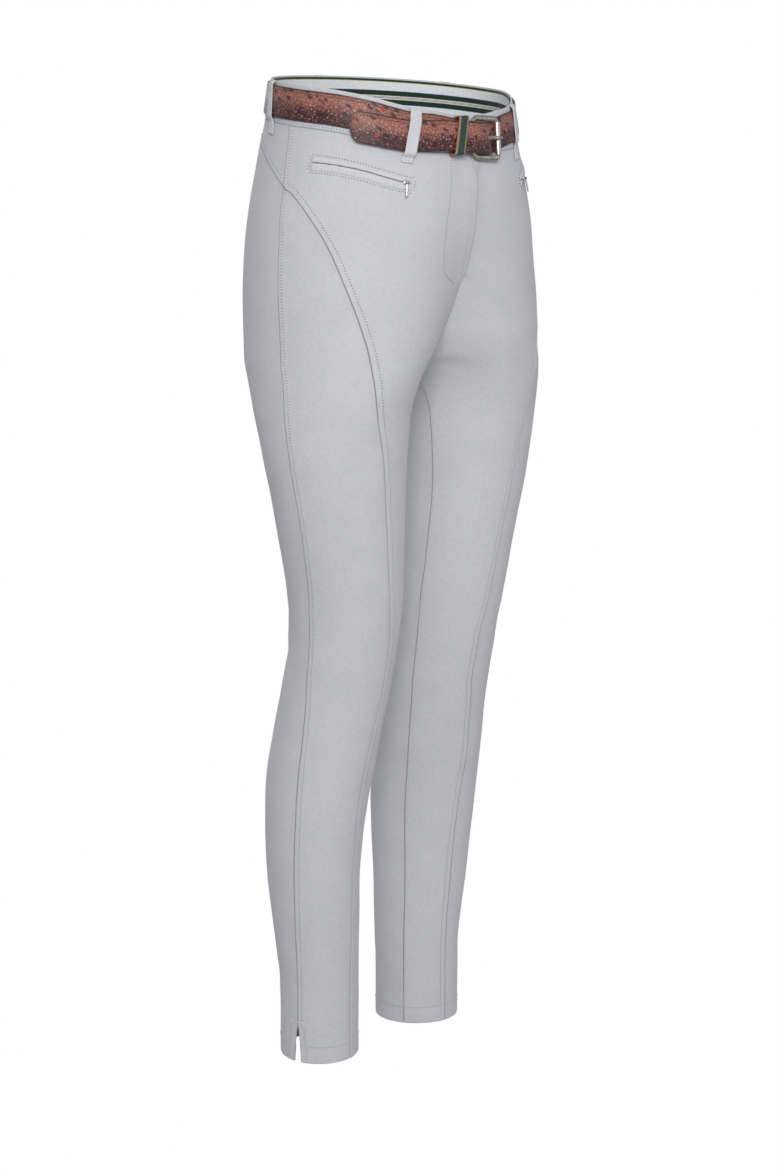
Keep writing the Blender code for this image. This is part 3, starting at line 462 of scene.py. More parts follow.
@dataclass(frozen=True)
class Drape:
    """The creases of one leg and seat. The other side's are alike but not the same."""

    creases: tuple[Crease, ...] = tuple(Crease(*row) for row in (
        (-0.226, 47, 0.06, 0.0065, 0.00055, 30, 0.05), (-0.249, 30, 0.046, 0.0055, 0.0006, 6, -0.04),
        (-0.276, 40, 0.06, 0.0075, 0.00045, -16, 0.04), (-0.236, 338, 0.05, 0.007, 0.0011, -38, 0.05),
        (-0.262, 322, 0.078, 0.008, 0.0014, -20, 0.06), (-0.291, 302, 0.096, 0.011, 0.0015, -7, 0.05),
        (-0.317, 283, 0.07, 0.01, 0.0009, 5, -0.05), (-0.3, 330, 0.05, 0.007, 0.0007, -14, 0.03),
        (-0.13, 262, 0.06, 0.014, 0.0005, 40, 0.05), (-0.095, 240, 0.05, 0.012, 0.00035, 62, 0.0),
        (-0.404, 262, 0.08, 0.016, 0.0005, 10, 0.04), (-0.486, 248, 0.06, 0.007, 0.0008, 14, -0.06),
        (-0.508, 291, 0.066, 0.0075, 0.0011, -12, 0.06), (-0.531, 259, 0.078, 0.008, 0.0014, 6, -0.04),
        (-0.553, 296, 0.058, 0.007, 0.001, -16, 0.07), (-0.577, 262, 0.056, 0.0075, 0.00085, 15, -0.05),
        (-0.602, 287, 0.044, 0.008, 0.00045, -8, 0.0), (-0.56, 193, 0.06, 0.011, 0.0005, 68, 0.05),
        (-0.655, 135, 0.09, 0.011, 0.00022, 58, 0.04), (-0.492, 74, 0.05, 0.011, 0.0002, -9, 0.05),
        (-0.52, 128, 0.058, 0.012, 0.00018, 14, -0.03), (-0.7, 316, 0.06, 0.009, 0.00035, 30, 0.04),
        (-0.79, 268, 0.07, 0.012, 0.0003, -12, 0.03), (-0.884, 246, 0.046, 0.007, 0.0006, 10, 0.05),
        (-0.903, 292, 0.05, 0.0065, 0.0007, -9, -0.06), (-0.922, 258, 0.042, 0.006, 0.00055, 7, 0.04),
        (-0.902, 96, 0.044, 0.008, 0.00024, 10, 0.05), (-0.926, 52, 0.036, 0.007, 0.0002, -7, 0.0),
        (-0.135, 128, 0.08, 0.017, 0.00018, 58, 0.03), (-0.185, 100, 0.07, 0.013, 0.00025, 46, 0.04),
    ))

    def height(self, level: Array, angle: Array, side: int) -> Array:
        """How far the creases and the cloth's slow waves move it out.

        Args:
            level: Levels of the places.
            angle: Angles of the places.
            side: -1 for the right leg, 1 for the left.

        Returns:
            Distances in metres, outward.
        """
        level, angle = np.broadcast_arrays(np.asarray(level, float), np.asarray(angle, float))
        total = np.zeros(level.shape)
        for i, crease in enumerate(self.creases):
            shift = 0.0 if side < 0 else 0.004 * sin(5.1 * i + 1.0)
            turn = 0.0 if side < 0 else 5.0 * sin(3.7 * i + 0.4)
            gain = 1.0 if side < 0 else 1.0 + 0.25 * sin(2.3 * i)
            total += gain * crease.height(level + shift, angle + turn)
        seam = np.radians((angle - through(SEAMS, Seam.INSEAM.value, level) + 180) % 360 - 180)
        near = bell(seam * through(PROFILE, 3, level), 0.009) * fade(-0.755, -0.7, level)
        near = near * (1 - fade(-0.57, -0.53, level))
        total += 0.00022 * near * np.sin(level * 560 + 1.7 * np.sin(level * 171) + side)
        turn = np.radians(angle)
        calm = fade(-0.965, -0.93, level) * (1 - fade(-0.075, -0.035, level))
        wave = np.sin(level * 47 + 2 * turn + side) * np.sin(level * 23 - 3 * turn)
        wave = wave + 0.6 * np.sin(level * 83 - 5 * turn + 2 * side) * np.sin(level * 31 + 2 * turn)
        return total + 0.00022 * calm * wave


DRAPE = Drape()


@dataclass(frozen=True)
class PanelEdge:
    """One edge of a panel: how it is sewn and where its topstitching runs."""

    sewn: Sewn
    stitch: float = FELL

    def relief(self, distance: Array) -> Array:
        """How far the outer face moves out at a distance from the edge.

        Args:
            distance: Distances, in metres.

        Returns:
            The heights, in metres.
        """
        roll = -0.00042 * bell(distance, 0.00055)
        if self.sewn is Sewn.FELLED:
            past = distance - self.stitch
            ridge = fade(0.0, 0.0009, distance) * (1 - fade(0.0003, 0.0019, past))
            return roll + 0.00026 * ridge - 0.00012 * bell(past, 0.0006)
        if self.sewn is Sewn.HEMMED:
            ridge = 1 - fade(HEM_DEPTH + 0.0002, HEM_DEPTH + 0.0018, distance)
            return 0.7 * roll + 0.0002 * ridge - 0.00018 * bell(distance - HEM_DEPTH, 0.0007)
        if self.sewn is Sewn.FREE:
            return 0.5 * roll - 0.00016 * bell(distance - self.stitch, 0.0007)
        if self.sewn is Sewn.UNDER:
            return roll
        return roll + 0.00014 * fade(0.0, 0.001, distance) * (1 - fade(0.004, 0.009, distance))

    def shade(self, distance: Array) -> Array:
        """How much painted shade darkens the cloth at a distance from the edge: in the seam where it turns in
        and along the topstitching.

        Args:
            distance: Distances, in metres.

        Returns:
            The shades, 0 for none.
        """
        dark = 0.34 * bell(distance, 0.0006)
        # An under edge adds a soft painted shadow on the lower panel beside the seam.
        if self.sewn is Sewn.UNDER:
            return dark + 0.04 * bell(distance, 0.0042)
        if self.sewn is Sewn.PLAIN:
            return 0.6 * dark
        stitch = HEM_DEPTH if self.sewn is Sewn.HEMMED else self.stitch
        return (0.3 if self.sewn is Sewn.HEMMED else 1.0) * dark + 0.09 * bell(distance - stitch, 0.0007)

    def offsets(self) -> Array:
        """Distances from the edge that carry a line of the mesh.

        Returns:
            The distances, in metres.
        """
        rolled = [0.0, 0.00035, 0.0008, 0.0014]
        if self.sewn is Sewn.UNDER:
            return np.array([*rolled, 0.003])
        if self.sewn is Sewn.PLAIN:
            return np.array([*rolled, 0.004, 0.007, 0.0095])
        depth = HEM_DEPTH if self.sewn is Sewn.HEMMED else self.stitch
        lead = [0.005, 0.009, 0.013] if self.sewn is Sewn.HEMMED else [0.0035]
        return np.array([*rolled, *lead, *(depth + np.array([-0.0009, -0.0004, 0.0, 0.0004, 0.001, 0.002]))])


FELLED_EDGE, UNDER_EDGE, HEM_EDGE = (PanelEdge(sewn) for sewn in (Sewn.FELLED, Sewn.UNDER, Sewn.HEMMED))


class Draft:
    """The points, faces, flat coordinates and finish numbers of a piece being made."""

    def __init__(self) -> None:
        """Starts with nothing."""
        self.points: list[Array] = []
        self.flat: list[Array] = []
        self.faces: list[Sequence[int]] = []
        self.finish: list[int] = []
        self.count = 0

    def add(self, points: Array, faces: Iterable[Sequence[int]], flat: Array | None = None,
            finish: int | Sequence[int] = 0) -> None:
        """Adds points and the faces between them.

        Args:
            points: Points in metres.
            faces: Faces by the numbers of these points.
            flat: A flat coordinate for each point, in metres.
            finish: One finish number, or one for each face.
        """
        points = np.asarray(points, float).reshape(-1, 3)
        flat = points[:, :2] if flat is None else np.asarray(flat, float).reshape(-1, 2)
        faces = [[int(v) + self.count for v in face] for face in faces]
        self.points.append(points)
        self.flat.append(flat)
        self.faces.extend(faces)
        self.finish.extend([finish] * len(faces) if isinstance(finish, int) else list(finish))
        self.count += len(points)

    def piece(self, name: str, materials: Sequence[Material], outward: bool = False) -> Thing:
        """Makes the object.

        Args:
            name: The piece's name.
            materials: Its finishes, in the order of the finish numbers.
            outward: Whether to turn every face of the closed form outward.

        Returns:
            The new object, smooth shaded.
        """
        points, flat = np.concatenate(self.points), np.concatenate(self.flat)
        mesh = bpy.data.meshes.new(name)
        mesh.from_pydata(points.tolist(), [], self.faces)
        layer = mesh.uv_layers.new(name="flat")
        corners = np.empty(len(mesh.loops), np.int32)
        mesh.loops.foreach_get("vertex_index", corners)
        layer.data.foreach_set("uv", flat[corners].ravel())
        for material in materials:
            mesh.materials.append(material)
        mesh.polygons.foreach_set("material_index", np.array(self.finish, np.int32))
        mesh.polygons.foreach_set("use_smooth", np.ones(len(mesh.polygons), bool))
        if outward:
            work = bmesh.new()
            work.from_mesh(mesh)
            bmesh.ops.recalc_face_normals(work, faces=work.faces)
            work.to_mesh(mesh)
            work.free()
        mesh.update()
        thing = bpy.data.objects.new(name, mesh)
        bpy.context.scene.collection.objects.link(thing)
        return thing


def grid_faces(rows: int, columns: int, start: int = 0, flip: bool = False) -> Array:
    """Quads of a grid of points, numbered row by row.

    Args:
        rows: How many rows there are.
        columns: How many points a row has.
        start: The number of the first point.
        flip: Whether the quads turn the other way.

    Returns:
        The corners of each quad.
    """
    r, c = np.meshgrid(np.arange(rows - 1), np.arange(columns - 1), indexing="ij")
    low = (start + r * columns + c).ravel()
    quads = np.stack([low, low + 1, low + columns + 1, low + columns], axis=1)
    return quads[:, ::-1] if flip else quads


def shell(outer: Array, inner: Array, flat: Array, flip: bool) -> Draft:
    """A closed wall between two grids of points.

    Args:
        outer: The outer face's points, rows by columns.
        inner: The inner face's points.
        flat: Flat coordinates, the same for both faces.
        flip: Whether the outer face's quads run the other way.

    Returns:
        The wall with its four rims.
    """
    rows, columns = outer.shape[:2]
    count = rows * columns
    number = np.arange(count).reshape(rows, columns)
    faces = [grid_faces(rows, columns, 0, flip), grid_faces(rows, columns, count, not flip)]
    rims = ((number[0, :], True), (number[-1, :], False), (number[:, 0], False), (number[:, -1], True))
    for rim, back in rims:
        quads = np.stack([rim[:-1], rim[1:], rim[1:] + count, rim[:-1] + count], axis=1)
        faces.append(quads if back == flip else quads[:, ::-1])
    draft = Draft()
    both = np.concatenate([outer.reshape(-1, 3), inner.reshape(-1, 3)])
    draft.add(both, np.concatenate(faces), np.concatenate([flat.reshape(-1, 2)] * 2))
    return draft


def loft(draft: Draft, sections: Array, flat: Array | None = None, closed: bool = False,
         finish: Sequence[int] | int = 0, caps: int = 0) -> Draft:
    """Adds a solid through closed sections.

    Args:
        draft: The piece to add to.
        sections: Points, section by section.
        flat: Flat coordinates of the same points.
        closed: Whether the last section joins the first.
        finish: One finish number, or one for each side of a section.
        caps: The finish number of the two ends.

    Returns:
        The same draft.
    """
    count, sides = sections.shape[:2]
    k = np.arange(sides)
    after = (k + 1) % sides
    faces: list[Sequence[int]] = []
    numbers: list[int] = []
    by_side = [finish] * sides if isinstance(finish, int) else list(finish)
    for i in range(count if closed else count - 1):
        low, high = i * sides, ((i + 1) % count) * sides
        faces.extend(np.stack([low + k, low + after, high + after, high + k], axis=1).tolist())
        numbers.extend(by_side)
    if not closed:
        faces.append(k[::-1].tolist())
        faces.append(((count - 1) * sides + k).tolist())
        numbers.extend([caps, caps])
    draft.add(sections, faces, flat, numbers)
    return draft


def laid(run: Array, across: Array) -> Array:
    """Flat coordinates for every pair of a place along and a place across."""
    return np.stack(np.broadcast_arrays(run, across), axis=-1)


def corner_turns(count: int) -> Iterator[tuple[int, int, float]]:
    """The four corners of a rounded frame: the signs of each and the turns round it.

    Args:
        count: How many turns each corner has.

    Yields:
        The two signs and the turn, in radians.
    """
    for cu, cv, start in ((1, 1, 0), (-1, 1, 90), (-1, -1, 180), (1, -1, 270)):
        for k in np.linspace(0, 90, count):
            yield cu, cv, math.radians(start + k)


class NodeTree:
    """A short way to lay out shader nodes."""

    def __init__(self, tree: bpy.types.NodeTree) -> None:
        """Keeps the tree that nodes go into."""
        self.tree = tree

    def node(self, kind: str, **settings: object) -> bpy.types.Node:
        """Adds a node. A setting in capitals feeds the socket of that name, and any other is a property.

        Args:
            kind: The node's type.
            **settings: Its sockets' and properties' values.

        Returns:
            The new node.
        """
        made = self.tree.nodes.new(kind)
        for key, value in settings.items():
            if key[0].isupper():
                self.feed(made.inputs[key.replace("_", " ")], value)
            else:
                setattr(made, key, value)
        return made

    def feed(self, socket: Socket, value: object) -> None:
        """Links another socket to a socket, or sets its value.

        Args:
            socket: The socket to set.
            value: Another socket, or a plain value.
        """
        if isinstance(value, Socket):
            self.tree.links.new(value, socket)
        elif value is not None:
            socket.default_value = value

    def math(self, operation: str, *values: object, clamp: bool = False) -> Socket:
        """The result of one sum.

        Args:
            operation: The kind of sum.
            clamp: Whether the result is kept between 0 and 1.
            *values: What goes into it.

        Returns:
            The socket with the result.
        """
        made = self.node("ShaderNodeMath", operation=operation, use_clamp=clamp)
        for socket, value in zip(made.inputs, values):
            self.feed(socket, value)
        return made.outputs[0]

    plus = partialmethod(math, "ADD")
    minus = partialmethod(math, "SUBTRACT")
    times = partialmethod(math, "MULTIPLY")

    def step(self, value: object, low: float, high: float, first: float = 0.0, last: float = 1.0) -> Socket:
        """A smooth step between two limits.

        Args:
            value: Another socket, or a plain value.
            low: The lower limit.
            high: The upper limit.
            first: What it gives at the start.
            last: What it gives at the end.

        Returns:
            The socket with the result.
        """
        made = self.node("ShaderNodeMapRange", interpolation_type="SMOOTHSTEP", Value=value,
                         From_Min=low, From_Max=high, To_Min=first, To_Max=last)
        return made.outputs["Result"]

    def mix(self, factor: object, first: object, second: object, blend: str = "MIX") -> Socket:
        """Two colours mixed.

        Args:
            factor: How much of the second there is.
            first: The first colour.
            second: The second colour.
            blend: How the two are laid over each other.

        Returns:
            The socket with the colour.
        """
        made = self.node("ShaderNodeMix", data_type="RGBA", blend_type=blend)
        for socket, value in ((made.inputs[0], factor), (made.inputs[6], first), (made.inputs[7], second)):
            self.feed(socket, value)
        return made.outputs[2]

    def blend(self, factor: Socket, first: bpy.types.Node, second: bpy.types.Node) -> bpy.types.Node:
        """Two shaders mixed.

        Args:
            factor: How much of the second there is.
            first: The first shader.
            second: The second shader.

        Returns:
            The node that mixes them.
        """
        made = self.node("ShaderNodeMixShader")
        for socket, value in zip(made.inputs, (factor, first.outputs[0], second.outputs[0])):
            self.feed(socket, value)
        return made

    def noise(self, vector: object, scale: object, detail: float = 3.0) -> Socket:
        """Noise between 0 and 1, with lumps of about 1/scale metres."""
        return self.node("ShaderNodeTexNoise", Vector=vector, Scale=scale, Detail=detail).outputs[0]

    def cells(self, vector: object, scale: float, feature: str = "F1", random: float = 1.0) -> bpy.types.Node:
        """A cell pattern's node."""
        return self.node("ShaderNodeTexVoronoi", feature=feature, Vector=vector, Scale=scale,
                         Randomness=random)

    def stretched(self, vector: object, scale: Sequence[float]) -> Socket:
        """A coordinate scaled by its axes."""
        return self.node("ShaderNodeMapping", Vector=vector, Scale=scale).outputs[0]

    def split(self, vector: object) -> tuple[Socket, Socket]:
        """The first two parts of a coordinate."""
        made = self.node("ShaderNodeSeparateXYZ", Vector=vector).outputs
        return made[0], made[1]


class Effects:
    """Node groups that more than one finish uses."""

    def __init__(self) -> None:
        """Builds each group once."""
        self.twill = self._twill()
        self.wear = self._wear()

    @staticmethod
    def _group(name: str, numbers: dict[str, float], outputs: Sequence[str]) \
            -> tuple[NodeTree, bpy.types.Node, bpy.types.Node]:
        """Starts a group that takes a vector and some numbers, and puts out numbers.

        Args:
            name: The group's name.
            numbers: The input numbers' names and starting values.
            outputs: The outputs' names.

        Returns:
            The tree, its input node and its output node.
        """
        group = bpy.data.node_groups.new(name, "ShaderNodeTree")
        group.interface.new_socket("Vector", in_out="INPUT", socket_type="NodeSocketVector")
        for label, value in numbers.items():
            socket = group.interface.new_socket(label, in_out="INPUT", socket_type="NodeSocketFloat")
            socket.default_value = value
        for label in outputs:
            group.interface.new_socket(label, in_out="OUTPUT", socket_type="NodeSocketFloat")
        return NodeTree(group), group.nodes.new("NodeGroupInput"), group.nodes.new("NodeGroupOutput")

    def _twill(self) -> bpy.types.NodeTree:
        """Diagonal ribs crossed by threads, with uneven yarn.

        Returns:
            The group.
        """
        numbers = {"Rib Pitch": 0.0008, "Slope": 0.6, "Yarn Grain": 0.5}
        tree, given, out = self._group("Twill Weave", numbers, ("Height", "Shade"))
        u, v = tree.split(given.outputs["Vector"])
        along = tree.plus(u, tree.times(v, given.outputs["Slope"]))
        pitch = given.outputs["Rib Pitch"]
        rib = tree.math("SINE", tree.times(tree.math("DIVIDE", along, pitch), 2 * math.pi))
        across = tree.minus(v, tree.times(u, 0.35))
        pick = tree.math("SINE", tree.times(tree.math("DIVIDE", across, pitch), 4 * math.pi))
        cloth = tree.plus(tree.times(rib, 0.36), tree.times(pick, 0.14))
        grain = tree.noise(given.outputs["Vector"], 900.0, 2.0)
        grain = tree.times(tree.minus(grain, 0.5), given.outputs["Yarn Grain"])
        height = tree.plus(tree.plus(cloth, 0.5), grain)
        slub = tree.minus(tree.noise(given.outputs["Vector"], 260.0, 4.0), 0.5)
        shade = tree.plus(tree.times(cloth, 0.6), tree.plus(grain, slub))
        tree.feed(out.inputs["Height"], height)
        tree.feed(out.inputs["Shade"], tree.plus(shade, 0.5, clamp=True))
        return tree.tree

    def _wear(self) -> bpy.types.NodeTree:
        """Patches of tarnish and rubbing with fine scratches.

        Returns:
            The group.
        """
        numbers = {"Patch Scale": 160.0, "Amount": 0.5}
        tree, given, out = self._group("Surface Wear", numbers, ("Mask", "Height"))
        patch = tree.noise(given.outputs["Vector"], given.outputs["Patch Scale"], 5.0)
        fine = tree.noise(tree.stretched(given.outputs["Vector"], (3.0, 1.0, 0.4)), 1500.0, 2.0)
        lift = tree.plus(patch, tree.times(tree.minus(fine, 0.5), 0.35))
        mask = tree.times(tree.step(lift, 0.36, 0.66), given.outputs["Amount"], clamp=True)
        tree.feed(out.inputs["Mask"], mask)
        tree.feed(out.inputs["Height"], tree.plus(tree.times(fine, 0.5), lift))
        return tree.tree


class Finish:
    """A material with its own node tree."""

    def __init__(self, name: str, **constants: object) -> None:
        """Starts a material.

        Args:
            name: The material's name.
            constants: Values set on the shader itself, by socket name with underscores for blanks.
        """
        self.material = bpy.data.materials.new(name)
        self.material.use_nodes = True
        self.tree = NodeTree(self.material.node_tree)
        self.shader = next(n for n in self.material.node_tree.nodes if n.type == "BSDF_PRINCIPLED")
        for key, value in constants.items():
            self.shader.inputs[key.replace("_", " ")].default_value = value

    def flat(self) -> Socket:
        """The cloth's flat coordinate, in metres."""
        return self.tree.node("ShaderNodeUVMap", uv_map="flat").outputs[0]

    def place(self) -> Socket:
        """The place in the object, in metres."""
        return self.tree.node("ShaderNodeTexCoord").outputs["Object"]

    def effect(self, group: bpy.types.NodeTree, vector: object, **values: float) -> bpy.types.Node:
        """Places a shared effect with its own values."""
        return self.tree.node("ShaderNodeGroup", node_tree=group, Vector=vector, **values)

    def feed(self, socket: str, value: object) -> None:
        """Feeds one of the shader's sockets."""
        self.tree.feed(self.shader.inputs[socket], value)

    def bump(self, height: object, depth: float, strength: float = 1.0) -> None:
        """Raises the surface by a height pattern."""
        made = self.tree.node("ShaderNodeBump", Strength=strength, Distance=depth, Height=height)
        self.feed("Normal", made.outputs[0])


@dataclass(frozen=True)
class TwillFinish:
    """Fine stretch twill."""

    name: str
    colour: tuple[float, float, float] = (0.6, 0.602, 0.632)
    # shadow: the colour of painted shade, mixed in by the seam_shade attribute
    shadow: tuple[float, ...] = (0.125, 0.128, 0.155, 1)
    contrast: float = 0.09
    rib: float = 0.0008
    depth: float = 0.00012

    def build(self, effects: Effects) -> Material:
        """Makes the material from the shared weave.

        Args:
            effects: The shared groups of nodes.

        Returns:
            The material.
        """
        made = Finish(self.name, Roughness=0.88, Sheen_Weight=0.12, Sheen_Roughness=0.45,
                      Specular_IOR_Level=0.25)
        flat = made.flat()
        weave = made.effect(effects.twill, flat, Rib_Pitch=self.rib, Slope=0.7, Yarn_Grain=0.6)
        low = tuple(c * (1 - self.contrast) for c in self.colour) + (1.0,)
        high = tuple(min(1.0, c * (1 + self.contrast)) for c in self.colour) + (1.0,)
        body = made.tree.mix(weave.outputs["Shade"], low, high)
        cloud = made.tree.step(made.tree.noise(flat, 24.0, 3.0), 0.3, 0.7)
        body = made.tree.mix(cloud, body, made.tree.mix(1.0, body, (0.965, 0.965, 0.972, 1), "MULTIPLY"))
        # Painted shade: the seam_shade attribute darkens the cloth toward the shadow colour in seams, along
        # stitching and beside the fly's edge.
        seam = made.tree.node("ShaderNodeAttribute", attribute_name="seam_shade").outputs["Fac"]
        made.feed("Base Color", made.tree.mix(seam, body, self.shadow))
        made.feed("Roughness", made.tree.step(weave.outputs["Shade"], 0.0, 1.0, 0.92, 0.8))
        made.bump(weave.outputs["Height"], self.depth, 0.55)
        return made.material


@dataclass(frozen=True)
class StripedTapeFinish:
    """The waistband's inner tape: woven stripes that mirror about its middle."""

    name: str = "striped_tape"
    white: tuple[float, ...] = (0.9, 0.91, 0.93, 1)
    green: tuple[float, ...] = (0.004, 0.033, 0.016, 1)
    yellow: tuple[float, ...] = (0.6, 0.56, 0.18, 1)
    blue: tuple[float, ...] = (0.015, 0.035, 0.2, 1)
    middle: float = -0.0009
    bars: tuple[tuple[float, str], ...] = (
        (0.0163, "yellow"), (0.0157, "white"), (0.007, "blue"), (0.0063, "green"), (0.002, "yellow"),
        (0.0015, "white"), (0.0008, "blue"), (0.0003, "white"),
    )

    def build(self, effects: Effects) -> Material:
        """Makes the material, with one step for each bar edge.

        Args:
            effects: The shared groups of nodes.

        Returns:
            The material.
        """
        made = Finish(self.name, Roughness=0.8, Sheen_Weight=0.1, Sheen_Roughness=0.5)
        flat = made.flat()
        tree = made.tree
        _, v = tree.split(flat)
        ripple = tree.times(tree.minus(tree.noise(flat, 700.0, 1.0), 0.5), 0.0001)
        reach = tree.math("ABSOLUTE", tree.plus(tree.minus(v, self.middle), ripple))
        colour: object = self.green
        for edge, name in self.bars:
            inside = tree.math("LESS_THAN", reach, edge)
            colour = tree.mix(inside, colour, getattr(self, name))
        weave = made.effect(effects.twill, flat, Rib_Pitch=0.0011, Slope=-0.5, Yarn_Grain=0.2)
        shade = tree.step(weave.outputs["Shade"], 0.0, 1.0, 0.88, 1.08)
        tint = tree.node("ShaderNodeCombineColor", Red=shade, Green=shade, Blue=shade)
        made.feed("Base Color", tree.mix(1.0, colour, tint.outputs[0], "MULTIPLY"))
        made.feed("Roughness", tree.step(weave.outputs["Shade"], 0.0, 1.0, 0.9, 0.7))
        made.bump(weave.outputs["Height"], 0.0002, 0.6)
        return made.material


@dataclass(frozen=True)
class ScaledLeatherFinish:
    """Embossed leather: tan above, plum brown below, with scales, red spots and dark flecks, painted shade in
    the scale grooves and painted glints on the scale tops.
    """

    name: str = "scaled_leather"
    half_width: float = 0.015
    tan: tuple[float, ...] = (0.305, 0.11, 0.08, 1)
    amber: tuple[float, ...] = (0.54, 0.238, 0.185, 1)
    plum: tuple[float, ...] = (0.098, 0.03, 0.044, 1)
    # shadow is near-black: painted shade in the scale grooves, and also the colour of the dark flecks and
    # edges
    shadow: tuple[float, ...] = (0.012, 0.006, 0.009, 1)
    # The next colour is a painted highlight on the scale tops.
    painted_glint: tuple[float, ...] = (0.66, 0.4, 0.36, 1)
    red: tuple[float, ...] = (0.48, 0.022, 0.028, 1)
    halo: tuple[float, ...] = (0.47, 0.18, 0.16, 1)

    def build(self, effects: Effects) -> Material:
        """Makes the material from layers, from the ground colour up.

        Args:
            effects: The shared groups of nodes.

        Returns:
            The material.
        """
        made = Finish(self.name, Roughness=0.45, Coat_Weight=0.08, Coat_Roughness=0.35,
                      Specular_IOR_Level=0.35)
        flat = made.flat()
        tree = made.tree
        u, v = tree.split(flat)
        broad = tree.noise(flat, 90.0, 4.0)
        fine = tree.noise(flat, 620.0, 3.0)
        height = tree.plus(v, tree.times(tree.minus(broad, 0.5), 0.012))
        dusk = tree.step(height, 0.006, -0.0085)
        ground = tree.mix(tree.step(fine, 0.35, 0.65), self.tan, self.amber)
        ground = tree.mix(dusk, ground, self.plum)
        aslant = tree.node("ShaderNodeCombineXYZ", X=tree.plus(tree.times(u, 0.62), tree.times(v, 0.45)),
                           Y=tree.minus(tree.times(v, 1.1), tree.times(u, 0.55)))
        tremble = tree.node("ShaderNodeTexNoise", Vector=flat, Scale=300.0).outputs["Color"]
        small = tree.node("ShaderNodeVectorMath", operation="SCALE", Vector=tremble, Scale=0.003)
        wavy = tree.node("ShaderNodeVectorMath", operation="ADD")
        tree.feed(wavy.inputs[0], aslant.outputs[0])
        tree.feed(wavy.inputs[1], small.outputs[0])
        scale_edge = tree.cells(wavy.outputs[0], 310.0, "DISTANCE_TO_EDGE", 0.85).outputs["Distance"]
        groove = tree.step(scale_edge, 0.24, 0.08)
        # Painted shade in the grooves between scales, stronger in the plum part.
        painted_groove_shade = tree.times(groove, tree.plus(tree.times(dusk, 0.6), 0.4))
        colour = tree.mix(painted_groove_shade, ground, self.shadow)
        # Painted highlights on some scale tops.
        uneven = tree.step(tree.noise(flat, 300.0, 2.0), 0.44, 0.56)
        painted_highlight_mask = tree.times(tree.step(scale_edge, 0.24, 0.38), uneven)
        painted_highlight_mask = tree.times(painted_highlight_mask, tree.plus(tree.times(dusk, 0.42), 0.32))
        colour = tree.mix(painted_highlight_mask, colour, self.painted_glint)
        # The leather's own dark flecks, in the same near-black.
        flecks = tree.cells(tree.stretched(wavy.outputs[0], (0.8, 1.0, 1.0)), 150.0, "F1", 0.9)
        chance = tree.split(flecks.outputs["Color"])[0]
        fleck = tree.step(flecks.outputs["Distance"], 0.4, 0.28)
        fleck = tree.times(fleck, tree.math("GREATER_THAN", chance, 0.42))
        colour = tree.mix(tree.times(fleck, 0.85), colour, self.shadow)
        spots = tree.cells(flat, 86.0, "F1", 0.85)
        chosen = tree.math("GREATER_THAN", tree.split(spots.outputs["Color"])[0], 0.3)
        reach = tree.plus(spots.outputs["Distance"], tree.times(tree.minus(fine, 0.5), 0.12))
        ring = tree.times(tree.step(reach, 0.215, 0.175), chosen)
        colour = tree.mix(tree.times(ring, 0.55), colour, self.halo)
        colour = tree.mix(tree.times(tree.step(reach, 0.175, 0.14), chosen), colour, self.red)
        # The grain face darkens toward both long edges, in the same near-black.
        brink = tree.step(tree.math("ABSOLUTE", v), self.half_width - 0.0026, self.half_width - 0.0006)
        colour = tree.mix(tree.times(brink, 0.9), colour, self.shadow)
        wear = made.effect(effects.wear, flat, Patch_Scale=220.0, Amount=0.25)
        made.feed("Base Color", tree.mix(wear.outputs["Mask"], colour, self.tan))
        made.feed("Roughness", tree.plus(0.36, tree.times(fine, 0.25)))
        relief = tree.plus(tree.times(groove, -0.8), tree.times(fine, 0.35))
        made.bump(relief, 0.00035, 0.9)
        return made.material


@dataclass(frozen=True)
class PlainLeatherFinish:
    """Smooth leather, such as an edge, a back or a keeper."""

    name: str
    colour: tuple[float, ...]
    light: tuple[float, ...]
    roughness: float = 0.5
    edge: float = 0.0
    trim: tuple[float, ...] = (0.16, 0.3, 0.14, 1)

    def build(self, effects: Effects) -> Material:
        """Makes the material. A positive edge draws a line of trim that far from the middle.

        Args:
            effects: The shared groups of nodes.

        Returns:
            The material.
        """
        made = Finish(self.name, Roughness=self.roughness, Coat_Weight=0.15, Coat_Roughness=0.35)
        tree = made.tree
        flat = made.flat()
        wear = made.effect(effects.wear, flat, Patch_Scale=420.0, Amount=0.8)
        colour = tree.mix(wear.outputs["Mask"], self.colour, self.light)
        if self.edge > 0:
            u, _ = tree.split(flat)
            reach = tree.math("ABSOLUTE", u)
            line = tree.times(tree.step(reach, self.edge - 0.0005, self.edge),
                              tree.step(reach, self.edge + 0.0008, self.edge + 0.0004))
            colour = tree.mix(line, colour, self.trim)
        made.feed("Base Color", colour)
        made.feed("Roughness", tree.plus(self.roughness - 0.08, tree.times(wear.outputs["Mask"], 0.2)))
        made.bump(wear.outputs["Height"], 0.00012, 0.5)
        return made.material


@dataclass(frozen=True)
class MetalFinish:
    """Plated metal that has been handled."""

    name: str
    colour: tuple[float, ...]
    tarnish: tuple[float, ...]
    roughness: float = 0.28
    amount: float = 0.6

    def build(self, effects: Effects) -> Material:
        """Makes the material from the shared wear.

        Args:
            effects: The shared groups of nodes.

        Returns:
            The material.
        """
        made = Finish(self.name, Metallic=1.0, Roughness=self.roughness)
        wear = made.effect(effects.wear, made.place(), Patch_Scale=300.0, Amount=self.amount)
        made.feed("Base Color", made.tree.mix(wear.outputs["Mask"], self.colour, self.tarnish))
        made.feed("Roughness", made.tree.plus(self.roughness, made.tree.times(wear.outputs["Mask"], 0.18)))
        made.bump(wear.outputs["Height"], 0.00008, 0.4)
        return made.material


